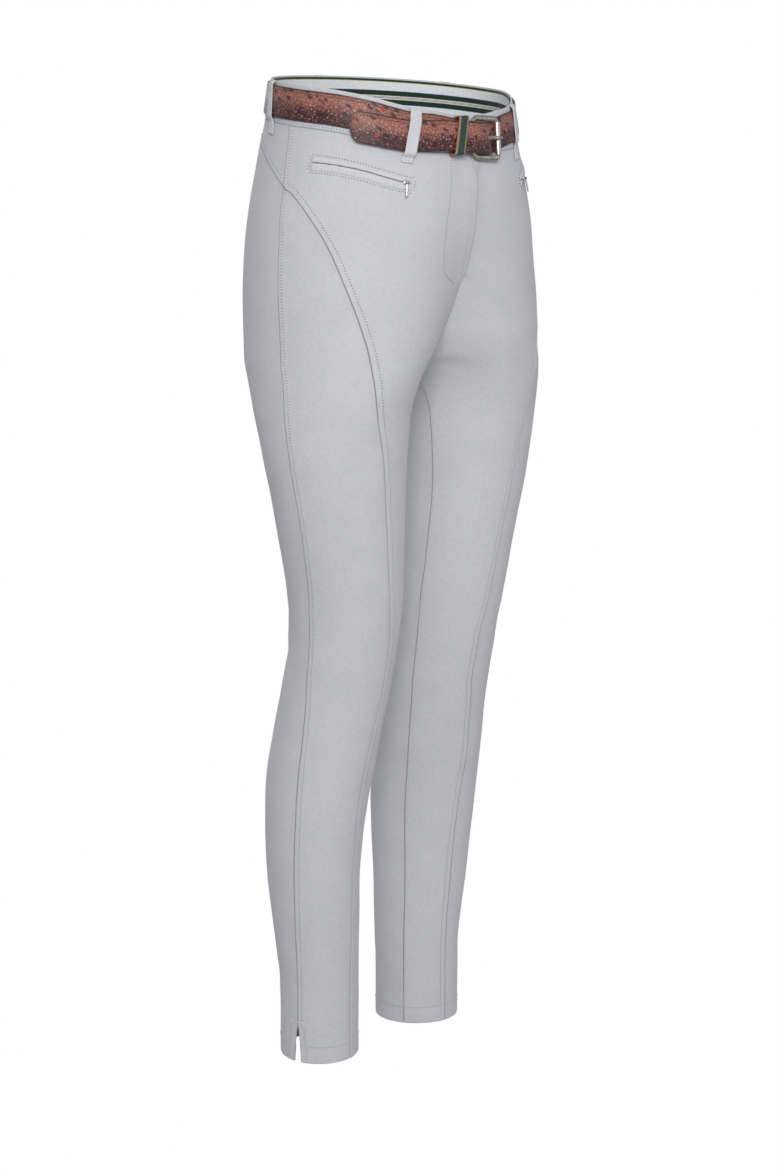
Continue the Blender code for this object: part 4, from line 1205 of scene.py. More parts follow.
@dataclass(frozen=True)
class ThreadFinish:
    """Sewing thread with its twist."""

    name: str
    colour: tuple[float, ...]
    dark: tuple[float, ...]

    def build(self, effects: Effects) -> Material:
        """Makes the material from fine bands.

        Args:
            effects: The shared groups of nodes.

        Returns:
            The material.
        """
        made = Finish(self.name, Roughness=0.7, Sheen_Weight=0.2, Sheen_Roughness=0.4)
        weave = made.effect(effects.twill, made.place(), Rib_Pitch=0.0005, Slope=0.9, Yarn_Grain=0.6)
        made.feed("Base Color", made.tree.mix(weave.outputs["Shade"], self.dark, self.colour))
        made.bump(weave.outputs["Height"], 0.00006, 0.5)
        return made.material


class Finishes:
    """Every finish of the garment and its belt."""

    def __init__(self) -> None:
        """Builds the shared effects and then each finish."""
        effects = Effects()
        leather, metal, thread = PlainLeatherFinish, MetalFinish, ThreadFinish
        self.twill = TwillFinish("grey_twill").build(effects)
        self.facing = TwillFinish("grey_twill_loops",
                                  (0.64, 0.642, 0.672), contrast=0.08, rib=0.0007).build(effects)
        self.tape = StripedTapeFinish().build(effects)
        self.strap = ScaledLeatherFinish().build(effects)
        self.strap_edge = leather("strap_edge", (0.02, 0.012, 0.011, 1),
                                  (0.06, 0.03, 0.022, 1)).build(effects)
        self.raw_leather = leather("raw_leather", (0.45, 0.16, 0.04, 1),
                                   (0.6, 0.25, 0.08, 1), 0.7).build(effects)
        self.keeper = leather("keeper_leather", (0.006, 0.017, 0.012, 1),
                              (0.034, 0.056, 0.038, 1), 0.42, 0.0034).build(effects)
        self.keeper_edge = leather("keeper_edge", (0.3, 0.13, 0.07, 1),
                                   (0.4, 0.2, 0.12, 1), 0.6).build(effects)
        self.buckle = metal("buckle_metal", (0.5, 0.46, 0.38, 1), (0.24, 0.2, 0.145, 1)).build(effects)
        self.roller = metal("roller_metal", (0.62, 0.59, 0.54, 1),
                            (0.5, 0.46, 0.4, 1), 0.34, 0.1).build(effects)
        self.zip = metal("zip_metal", (0.72, 0.72, 0.73, 1), (0.36, 0.36, 0.37, 1), 0.22, 0.35).build(effects)
        self.zip_tape = TwillFinish("zip_tape", (0.03, 0.03, 0.035), contrast=0.3, rib=0.0006).build(effects)
        self.thread = thread("grey_thread", (0.94, 0.95, 0.97, 1), (0.8, 0.81, 0.84, 1)).build(effects)
        # Dark bars of painted shade for the gaps between stitches, where the thread dips into the cloth.
        self.stitch_gap_shade = thread("stitch_gap_shade", (0.12, 0.123, 0.145, 1),
                                  (0.06, 0.062, 0.078, 1)).build(effects)
        self.belt_thread = thread("amber_thread", (0.42, 0.17, 0.06, 1), (0.14, 0.06, 0.03, 1)).build(effects)
        self.floor = self._floor()

    @staticmethod
    def _floor() -> Material:
        """A white ground that looks bright and lights the garment only softly.

        Returns:
            The material.
        """
        made = Finish("studio_floor", Roughness=0.9, Base_Color=(0.55, 0.55, 0.56, 1))
        tree = made.tree
        seen = tree.node("ShaderNodeLightPath").outputs["Is Camera Ray"]
        glow = tree.node("ShaderNodeEmission", Color=(1, 1, 1, 1), Strength=1.0)
        blend = tree.blend(seen, made.shader, glow)
        target = next(n for n in made.material.node_tree.nodes if n.type == "OUTPUT_MATERIAL")
        tree.feed(target.inputs["Surface"], blend.outputs[0])
        return made.material


def settle(piece: Thing, slot: str, *nodes: str, body: str = GARMENT) -> Thing:
    """Puts a piece on its body and hides the solids that it stands for.

    Args:
        piece: The finished piece.
        slot: The record's material slot; not used.
        nodes: Solids that it replaces.
        body: The body that it rides on.

    Returns:
        The same piece.
    """
    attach(piece, body)
    if nodes:
        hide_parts(*nodes)
    log.info("%s: %d faces", piece.name, len(piece.data.polygons))
    return piece


def shade_seams(piece: Thing, shade: Array) -> None:
    """Stores the painted shade of each point of a piece, where the cloth turns into a seam or lies in a
    shadow.
    """
    layer = piece.data.attributes.new("seam_shade", "FLOAT", "POINT")
    layer.data.foreach_set("value", shade.astype(np.float32))


def edge_distance(points: Array, column: int, window: int = 24) -> Array:
    """How far each point of a grid is from the line along one of its columns.

    Args:
        points: The grid's points, row by row.
        column: The edge's column.
        window: How many rows up and down the nearest place can lie.

    Returns:
        The distances, in metres.
    """
    edge, rows = points[:, column], np.arange(len(points))
    nearest = np.ones(points.shape[:2])
    for shift in range(-window, window):
        k = np.clip(rows + shift, 0, len(edge) - 2)
        start, step = edge[k][:, None], (edge[k + 1] - edge[k])[:, None]
        share = np.clip(np.sum((points - start) * step, -1) / np.sum(step * step, -1), 0, 1)
        nearest = np.minimum(nearest, np.linalg.norm(points - start - step * share[..., None], axis=-1))
    return nearest


def row_angles(levels: Array, first: Array, last: Array, near: Array, far: Array,
               middle: int, side: int) -> Array:
    """Angles of a panel's columns on each row.

    Args:
        levels: The rows' levels.
        first: The angle of each row's first edge.
        last: The angle of each row's last edge.
        near: Distances of columns from the first edge, square to it.
        far: Distances of columns from the last edge.
        middle: How many columns stand evenly between.
        side: -1 or 1.

    Returns:
        Angles, rows by columns.
    """
    share = np.linspace(0, 1, 61)[None, :]
    angles = first[:, None] + (last - first)[:, None] * share
    run = run_length(BODY.skin(levels[:, None], angles, side), 1)
    width = run[:, -1]
    rate = width / np.maximum(last - first, 1e-6)
    lean = [np.minimum(np.hypot(1, np.gradient(edge, levels) * rate), 4.0) for edge in (first, last)]
    lean = [np.convolve(np.pad(values, 5, "edge"), np.ones(11) / 11, "valid") for values in lean]
    small = [np.minimum(1.0, 0.44 * width / (offsets[-1] * slant)) for offsets,
             slant in zip((near, far), lean)]
    start = near[None, :] * (lean[0] * small[0])[:, None]
    end = width[:, None] - far[None, ::-1] * (lean[1] * small[1])[:, None]
    steps = np.linspace(0, 1, middle + 2)[1:-1][None, :]
    between = start[:, -1:] + (end[:, :1] - start[:, -1:]) * steps
    places = np.concatenate([start, between, end], axis=1)
    return np.array([np.interp(places[i], run[i], angles[i]) for i in range(len(levels))])


def leg_levels(top: float, head: Sequence[float] = ()) -> Array:
    """Levels of a leg panel's rows from its top to the hem, closer at the crotch and at the hem.

    Args:
        top: The first row's level.
        head: Distances of extra rows below the first.

    Returns:
        Levels in falling order.
    """
    hem = HEM_EDGE.offsets() + HEM_LEVEL
    start = top - (head[-1] if len(head) else 0.0) - 0.004
    parts = [
        top - np.array(head) if len(head) else np.array([top]),
        np.arange(start, -0.234, -0.0042) if start > -0.234 else np.array([]),
        np.arange(-0.2345, -0.2555, -0.0014),
        np.arange(-0.259, HEM_LEVEL + 0.0225, -0.0046),
        hem,
    ]
    rows = np.unique(np.round(np.concatenate(parts), 6))[::-1]
    keep = np.concatenate([[True], -np.diff(rows) > 0.00025])
    return rows[keep]


@dataclass
class Panel:
    """A cut panel: its places on the body surface and how its edges are sewn."""

    name: str
    side: Side
    levels: Array
    angles: Array
    start: PanelEdge
    end: PanelEdge
    top: PanelEdge
    foot: PanelEdge
    flat_size: tuple[float, float]
    area: float
    wall: float = 0.001
    raised: Array | None = None
    # shaded: extra painted shadow, such as that of the fly's edge on the left front
    shaded: Array | None = None

    def build(self, finish: Material) -> Thing:
        """Makes the panel as a thin closed wall with its seams, hem and creases.

        Args:
            finish: The cloth.

        Returns:
            The piece, not yet on its body.
        """
        sign = self.side.value
        base = BODY.skin(self.levels, self.angles, sign)
        normal = BODY.outward(self.levels, self.angles, sign)
        across, down = run_length(base, 1), run_length(base, 0)
        to_start, to_end = edge_distance(base, 0), edge_distance(base, -1)
        to_top, to_foot = down, down[-1:, :] - down
        crease = DRAPE.height(self.levels, self.angles, sign)
        out = crease + self.start.relief(to_start) + self.end.relief(to_end) + self.top.relief(to_top)
        out = out + self.foot.relief(to_foot)
        if self.raised is not None:
            out = out + self.raised
            crease = crease + self.raised
        doubled = 0.0
        if self.foot.sewn is Sewn.HEMMED:
            doubled = 0.0007 * (1 - fade(HEM_DEPTH, HEM_DEPTH + 0.0012, to_foot))
        outer = base + normal * out[..., None]
        inner = base + normal * (crease - self.wall - doubled)[..., None]
        middle = np.argmin(np.abs(self.angles - np.median(self.angles)), axis=1)
        u = across - across[np.arange(len(across)), middle][:, None]
        flat = np.stack([u * sign, self.levels], axis=-1)
        draft = shell(outer, inner, flat, flip=sign > 0)
        piece = draft.piece(f"{self.name}_cloth", [finish])
        # Painted shade at the seams and stitching, plus any extra painted shadow, for the cloth's colour.
        shade = self.start.shade(to_start) + self.end.shade(to_end) + self.top.shade(to_top)
        shade = shade + self.foot.shade(to_foot)
        if self.shaded is not None:
            shade = shade + self.shaded
        shade_seams(piece, np.concatenate([np.clip(shade, 0, 1).ravel(), np.zeros(shade.size)]))
        settle(piece, self.name, self.name)
        return piece


@dataclass
class Trousers:
    """The cut panels: two fronts, two side fronts, two backs and two yokes."""

    finishes: Finishes
    front_columns: int = 34
    side_columns: int = 26
    back_columns: int = 44
    sheets: dict[str, Thing] = field(default_factory=dict)

    def build(self) -> None:
        """Builds every panel of both sides."""
        for side in Side:
            for make in (self.front, self.side_front, self.back, self.yoke):
                panel = make(side)
                self.sheets[panel.name] = panel.build(self.finishes.twill)

    def front(self, side: Side) -> Panel:
        """The centre front, with the narrow strip down the inner leg.

        Args:
            side: The side of the body.

        Returns:
            The panel.
        """
        right = side is Side.RIGHT
        head = [0.0, 0.0004, 0.0009, 0.0016, 0.0035, 0.007]
        levels = leg_levels(BAND_FOOT - HALF_GAP, head)
        near_crossing = CROSSING_LEVEL + np.array([0.0022, 0.0008, -0.0004, -0.0014, -0.0028])
        levels = np.unique(np.round(np.concatenate([levels, near_crossing]), 6))[::-1]
        first = BODY.front_start(levels, FLY_OVER if right else FLY_UNDER)
        side_seam, style = (BODY.beside(levels, seam, -HALF_GAP) for seam in (Seam.SIDE, Seam.STYLE))
        last = np.where(levels > CROSSING_LEVEL, side_seam, style)
        start = PanelEdge(Sewn.PLAIN)
        near = start.offsets()
        if right:
            near = np.concatenate([near, [0.0115, 0.016, 0.021, 0.027, 0.0325, 0.0345, 0.0355, 0.0375]])
        else:
            near = np.unique(np.concatenate([near, [0.0082, 0.009, 0.0098, 0.011, 0.013, 0.016]]))
        angles = row_angles(levels, first, last, near, FELLED_EDGE.offsets(), self.front_columns, side.value)
        grid = np.broadcast_to(levels[:, None], angles.shape)
        raised, shaded = None, None
        if not right:
            # Painted shadow of the right front's fly edge, which lies over this panel.
            reach = run_length(BODY.skin(grid, angles, side.value), 1) - FLY_UNDER - FLY_OVER
            under = fade(FLY_FOOT - 0.006, FLY_FOOT + 0.002, grid) * (1 - fade(-0.036, -0.024, grid))
            shaded = under * (0.16 * bell(reach, 0.0018) + 0.07 * bell(reach, 0.0085))
        if right:
            middle = np.where(grid > CROTCH_LEVEL, BODY.edge_angle(grid, 0.0), 0.0)
            over = 1 - fade(3.4, 7.8, angles - middle)
            fly = fade(FLY_FOOT - 0.014, FLY_FOOT - 0.003, grid) * (1 - fade(-0.034, -0.022, grid))
            reach = run_length(BODY.skin(grid, angles, side.value), 1)
            facing = 0.0003 * (1 - fade(FLY_STITCH - 0.0008, FLY_STITCH + 0.0012, reach))
            facing = facing * fade(-0.156, -0.15, grid) - 0.0003 * over
            raised = FLY_RAISE * over * fly + facing * fade(FLY_FOOT - 0.004, FLY_FOOT + 0.012, grid)
        return Panel(f"front_{side.tag}", side, grid, angles, start, FELLED_EDGE,
                     UNDER_EDGE, HEM_EDGE, (0.26, 0.99), 0.0936, raised=raised, shaded=shaded)

    def side_front(self, side: Side) -> Panel:
        """The outer front of the leg.

        Args:
            side: The side of the body.

        Returns:
            The panel.
        """
        levels = leg_levels(-0.0764, [0.0, 0.0006, 0.0014, 0.0026, 0.0046, 0.007])
        first = BODY.beside(levels, Seam.STYLE, HALF_GAP)
        last = BODY.beside(levels, Seam.SIDE, -HALF_GAP) - BODY.slit(levels)
        end = PanelEdge(Sewn.FELLED, SIDE_FELL)
        near = UNDER_EDGE.offsets()
        angles = row_angles(levels, first, last, near, end.offsets(), self.side_columns, side.value)
        grid = np.broadcast_to(levels[:, None], angles.shape)
        return Panel(f"side_front_{side.tag}", side, grid, angles, UNDER_EDGE, end,
                     UNDER_EDGE, HEM_EDGE, (0.14, 0.92), 0.0703)

    def yoke_line(self, shares: Array, gap: float) -> tuple[Array, Array]:
        """Levels and angles along the yoke seam.

        Args:
            shares: Shares of the way from the side seam to the back middle.
            gap: How far above the seam, in metres.

        Returns:
            The levels and the angles.
        """
        levels = np.full(len(shares), -0.05)
        angles = np.zeros(len(shares))
        for _ in range(8):
            start = BODY.beside(levels, Seam.SIDE, HALF_GAP)
            angles = start + (BODY.back_end(levels) - start) * shares
            levels = through(YOKE_SEAM, 1, angles) + gap
        return levels, angles

    def back(self, side: Side) -> Panel:
        """The back of the leg and the seat, from the yoke seam to the hem.

        Args:
            side: The side of the body.

        Returns:
            The panel.
        """
        lower = leg_levels(-0.1)
        first = BODY.beside(lower, Seam.SIDE, HALF_GAP) + BODY.slit(lower)
        last = BODY.back_end(lower)
        start = UNDER_EDGE
        end = PanelEdge(Sewn.FELLED if side is Side.RIGHT else Sewn.UNDER, FELL)
        angles = row_angles(lower, first, last, start.offsets(), end.offsets(), self.back_columns, side.value)
        shares = (angles[0] - angles[0, 0]) / (angles[0, -1] - angles[0, 0])
        seam, _ = self.yoke_line(shares, -SEAM_GAP * 0.62)
        drop = np.array([0.0, 0.0004, 0.0009, 0.0016, 0.0035, 0.007, 0.0115])[:, None]
        depth = seam[None, :] + 0.1
        steps = np.concatenate([np.minimum(drop / depth, drop * 12),
                                np.linspace(0.28, 0.93, 9)[:, None] + 0 * depth])
        upper = seam[None, :] - depth * steps
        start_angle = BODY.beside(upper, Seam.SIDE, HALF_GAP)
        upper_angles = start_angle + (BODY.back_end(upper) - start_angle) * shares[None, :]
        levels = np.vstack([upper, np.broadcast_to(lower[:, None], angles.shape)])
        return Panel(f"back_{side.tag}", side, levels, np.vstack([upper_angles, angles]), start, end,
                     UNDER_EDGE, HEM_EDGE, (0.3, 0.96), 0.2024)

    def yoke(self, side: Side) -> Panel:
        """The shaped yoke between the waistband and the back.

        Args:
            side: The side of the body.

        Returns:
            The panel.
        """
        shares = np.concatenate([[0, 0.0025, 0.006, 0.01, 0.022], np.linspace(0.04, 0.96, 30),
                                 [0.978, 0.99, 0.994, 0.9975, 1]])
        foot, _ = self.yoke_line(shares, SEAM_GAP * 0.62)
        head = BAND_FOOT - HALF_GAP
        edge = FELLED_EDGE
        rise = edge.offsets()[:, None] / 0.04
        top_steps = [*np.linspace(0.62, 0.12, 5), 0.05, 0.022, 0.01, 0.0]
        steps = np.concatenate([1 - rise, np.array(top_steps)[:, None]])[::-1]
        levels = head + (foot[None, :] - head) * steps
        start_angle = BODY.beside(levels, Seam.SIDE, HALF_GAP)
        angles = start_angle + (BODY.back_end(levels) - start_angle) * shares[None, :]
        return Panel(f"back_yoke_{side.tag}", side, levels, angles, UNDER_EDGE, UNDER_EDGE,
                     UNDER_EDGE, edge, (0.19, 0.06), 0.0054)


@dataclass
class Waistband:
    """The two halves of the waistband and the striped tape inside it."""

    finishes: Finishes
    wall: float = 0.0016
    tape_gap: float = 0.0005
    tape_wall: float = 0.0009
    tape_top: float = 0.0176
    tape_foot: float = -0.0194

    def build(self) -> None:
        """Builds both halves and the tape."""
        for side in Side:
            self.half(side)
        self.tape()

    def half(self, side: Side) -> None:
        """One half, folded over at the top, with its foot sewn to the panels.

        Args:
            side: The side of the body.
        """
        edge = -FLY_OVER if side is Side.RIGHT else FLY_OVER + 0.0008
        first = float(BODY.edge_angle(0.0, edge))
        last = 270 - math.degrees(0.5 * SEAM_GAP / 0.14)
        lead = np.array([0.0, 0.15, 0.4, 0.9, 1.6])
        angles = np.concatenate([first + lead, np.linspace(first + 3, last - 3, 88), last - lead[::-1]])
        half = self.wall / 2
        fold = [(BAND_TOP - half + half * cos(a), -half + half * sin(a))
                for a in np.radians(np.arange(-90, 91, 22.5))]
        face = [(level, 0.00012) for level in (0.0168, 0.014, 0.009, 0.003, -0.003, -0.009, -0.014, -0.0168)]
        low = BAND_FOOT + HALF_GAP
        foot = [(-0.0176, 0.00005), (-0.0184, 0.00018), (-0.0192, 0.00008), (-0.0197, -0.0002),
                (low, -0.0007)]
        back = [(level, -self.wall) for level in (low, -0.01, 0.005, 0.014)]
        ring = np.array([*fold, *face, *foot, *back])
        sides = np.full(len(angles), side.value)
        self._round(f"waistband_{side.tag}", angles, sides, ring, self.finishes.twill)

    def tape(self) -> None:
        """The woven tape inside, sewn at its top and foot."""
        turns = np.linspace(1.6, 358.0, 181)
        angles, sides = BODY.around(turns)
        near, far = -(self.wall + self.tape_gap), -(self.wall + self.tape_gap + self.tape_wall)
        rows = np.linspace(self.tape_top, self.tape_foot, 12)
        inner = [(level, far) for level in rows]
        ring = np.array([(self.tape_top - 0.0002, near), *inner, (self.tape_foot + 0.0002, near),
                         (0.0, near)])
        self._round("waistband_tape", angles, sides, ring, self.finishes.tape)

    def _round(self, name: str, angles: Array, sides: Array, ring: Array,
               finish: Material) -> None:
        """Carries one ring of levels and distances round the waist.

        Args:
            name: The piece's and its solid's name.
            angles: The stations' angles.
            sides: The stations' sides.
            ring: The section, as level and distance out.
            finish: The cloth.
        """
        dip = FRONT_DIP * bell(angles - 90, 16.0)
        sections = np.stack([BODY.at(level - dip * fade(-0.004, BAND_TOP, level), angles, sides, out)
                             for level, out in ring], axis=1)
        run = run_length(BODY.skin(0.0, angles, sides), 0)
        flat = laid(run[:, None], ring[None, :, 0])
        draft = loft(Draft(), sections, flat)
        piece = settle(draft.piece(f"{name}_cloth", [finish], outward=True), name, name)


@dataclass
class BeltLoops:
    """Five narrow loops, sewn above and below the belt."""

    finishes: Finishes
    half_width: float = 0.0062
    wall: float = 0.0012
    places: tuple[tuple[str, float, float, bool], ...] = (
        ("belt_loop_front_right", 29.6, 34.6, True),
        ("belt_loop_side_right", 113.0, 107.5, False),
        ("belt_loop_back", 180.0, 180.0, False),
        ("belt_loop_side_left", 247.0, 252.5, False),
        ("belt_loop_front_left", 322.0, 325.2, False),
    )
    over_one: tuple[tuple[float, float], ...] = (
        (0.019, 0.00085), (0.018, 0.00125), (0.0169, 0.0024), (0.0158, 0.00345), (0.0125, 0.00375),
        (0.006, 0.0038), (-0.002, 0.00382), (-0.01, 0.0038), (-0.0148, 0.00365), (-0.0164, 0.0029),
        (-0.0178, 0.0016), (-0.02, 0.0011), (-0.026, 0.00095), (-0.0315, 0.00085),
    )
    over_both: tuple[tuple[float, float], ...] = (
        (0.019, 0.00085), (0.018, 0.00125), (0.0169, 0.0024), (0.0158, 0.00355), (0.012, 0.004),
        (0.0086, 0.005), (0.0068, 0.00635), (0.002, 0.0066), (-0.008, 0.00665), (-0.018, 0.00662),
        (-0.024, 0.0064), (-0.0258, 0.005), (-0.0272, 0.0023), (-0.0286, 0.00115), (-0.0325, 0.0009),
    )

    def build(self) -> None:
        """Builds each loop and its bar tacks."""
        tacks = StitchRows("loop_stitches", self.finishes.thread, self.finishes.stitch_gap_shade)
        for name, top_turn, foot_turn, both in self.places:
            profile = np.array(self.over_both if both else self.over_one)
            self._loop(name, top_turn, foot_turn, profile, tacks)
        tacks.build("waistband_right")

    def _loop(self, name: str, top_turn: float, foot_turn: float, profile: Array,
              tacks: "StitchRows") -> None:
        """One loop: a flat rounded section carried down the profile.

        Args:
            name: The piece's name.
            top_turn: The turn of its top, in degrees.
            foot_turn: The turn of its foot, in degrees.
            profile: Its line from the top down.
            tacks: The stitches that hold it.
        """
        dense = np.linspace(0, len(profile) - 1, 4 * len(profile))
        knots = np.arange(len(profile))
        level = np.interp(dense, knots, profile[:, 0])
        out = np.interp(dense, knots, profile[:, 1])
        for _ in range(3):
            out[1:-1] = 0.5 * out[1:-1] + 0.25 * (out[2:] + out[:-2])
            level[1:-1] = 0.5 * level[1:-1] + 0.25 * (level[2:] + level[:-2])
        share = (level[0] - level) / (level[0] - level[-1])
        turn = top_turn + (foot_turn - top_turn) * share
        along, _, away = BODY.waist_axes(turn, level)
        centre = BODY.waist(turn, level, out)
        path = unit(np.gradient(centre, axis=0))
        face = unit(np.cross(path, along))
        face = face * np.sign(np.sum(face * away, axis=-1, keepdims=True))
        half, thick = self.half_width, self.wall / 2
        ring = []
        for place in np.linspace(-1, 1, 11):
            rim = thick * math.sqrt(max(0.0, 1 - abs(place) ** 9))
            ring.append((place * half, rim + 0.00016 * bell(abs(place) - 0.8, 0.12)))
        ring += [(u, -min(v, thick)) for u, v in ring[::-1]]
        ring = np.array(ring)
        sections = centre[:, None, :] + along[:, None, :] * ring[:, 0:1] + face[:, None, :] * ring[:, 1:2]
        run = run_length(centre, 0)
        flat = laid(ring[None, :, 0], -run[:, None])
        draft = loft(Draft(), sections, flat)
        piece = settle(draft.piece(f"{name}_cloth", [self.finishes.facing], outward=True), name, name)
        for back in (0.0016, 0.003):
            k = int(np.argmin(np.abs(run - (run[-1] - back))))
            ends = np.array([-0.78, 0.78]) * half
            line = centre[k] + along[k] * np.linspace(ends[0], ends[1], 24)[:, None] + face[k] * thick
            tacks.along(line, np.broadcast_to(face[k], line.shape), pitch=0.0017, length=0.0015)


class StitchRows:
    """Rows of stitches, with dark bars of painted shade in the gaps between them, that make up one piece."""

    SIDES = 5

    def __init__(self, name: str, thread: Material, hole: Material, radius: float = 0.00038) -> None:
        """Starts with no stitches.

        Args:
            name: The piece's name.
            thread: The thread's finish.
            hole: The finish of the painted shade between two stitches, where the thread pulls the cloth in.
            radius: Half of the thread's thickness.
        """
        self.name, self.finishes, self.radius = name, [thread, hole], radius
        self.draft = Draft()

    def along(self, line: Array, normal: Array, pitch: float = STITCH_PITCH,
              length: float = STITCH_LENGTH) -> None:
        """Lays stitches along a line of points, and after each a dark bar of painted shade.

        Args:
            line: Points in metres, close together.
            normal: The surface's normal at each point.
            pitch: From one stitch to the next.
            length: How much of each stitch shows.
        """
        run = run_length(line, 0)
        count = int(run[-1] / pitch)
        if count < 1:
            return
        centres = (np.arange(count) + 0.5) * run[-1] / count
        self.beads(line, normal, run, centres, length, self.radius, 0)
        gap = run[-1] / count - length
        # The bar in each gap is painted shade, not thread.
        if gap > 0.0003:
            self.beads(line, normal, run, centres[:-1] + run[-1] / count / 2, gap * 1.2, self.radius * 0.85,
                       1)

    def beads(self, line: Array, normal: Array, run: Array, centres: Array, length: float,
               radius: float, finish: int) -> None:
        """Adds small round-ended bars.

        Args:
            line: Points in metres.
            normal: The surface's normal at each point.
            run: How far along the line each point is.
            centres: Where the bars' middles are along the line.
            length: Each bar's length.
            radius: Half of each bar's thickness.
            finish: The finish number.
        """
        spots = np.array([np.stack([np.interp(centres + shift, run, line[:, i]) for i in range(3)], axis=-1)
                          for shift in (-length / 2, 0.0, length / 2)])
        ahead = unit(spots[2] - spots[0])
        up = unit(np.stack([np.interp(centres, run, normal[:, i]) for i in range(3)], axis=-1))
        across = unit(np.cross(ahead, up))
        rings = ((-0.5, 0.3, -0.75), (-0.3, 0.95, 0.05), (0.3, 0.95, 0.05), (0.5, 0.3, -0.75))
        spokes = 2 * np.pi * np.arange(self.SIDES) / self.SIDES
        points = []
        for place, size, rise in rings:
            middle = spots[1] + ahead * place * length + up * rise * radius
            for spoke in spokes:
                points.append(middle + (up * cos(spoke) + across * sin(spoke)) * radius * size)
        points = np.stack(points, axis=1)
        faces = []
        for r in range(3):
            for k in range(self.SIDES):
                a, b = r * self.SIDES + k, r * self.SIDES + (k + 1) % self.SIDES
                faces.append([a, b, b + self.SIDES, a + self.SIDES])
        faces += [list(range(self.SIDES))[::-1], [3 * self.SIDES + k for k in range(self.SIDES)]]
        per = 4 * self.SIDES
        many = [[v + per * i for v in face] for i in range(len(centres)) for face in faces]
        self.draft.add(points.reshape(-1, 3), many, finish=finish)

    def on_body(self, level: Array, angle: Array, side: Array, lift: float, **stitch: float) -> None:
        """Lays stitches along a line on the body surface.

        Args:
            level: Heights from the waist's middle, in metres.
            angle: Angles round a half section, in degrees.
            side: Which half, -1 or 1.
            lift: How far the stitches stand off the surface.
            **stitch: The stitches' own measures.
        """
        level, angle, side = np.broadcast_arrays(np.asarray(level, float), np.asarray(angle, float), side)
        out = lift + DRAPE.height(level, angle, int(side.flat[0]))
        self.along(BODY.at(level, angle, side, out), BODY.outward(level, angle, side), **stitch)

    def build(self, slot: str) -> Thing:
        """Makes the piece, on the garment."""
        return settle(self.draft.piece(self.name, self.finishes), slot)


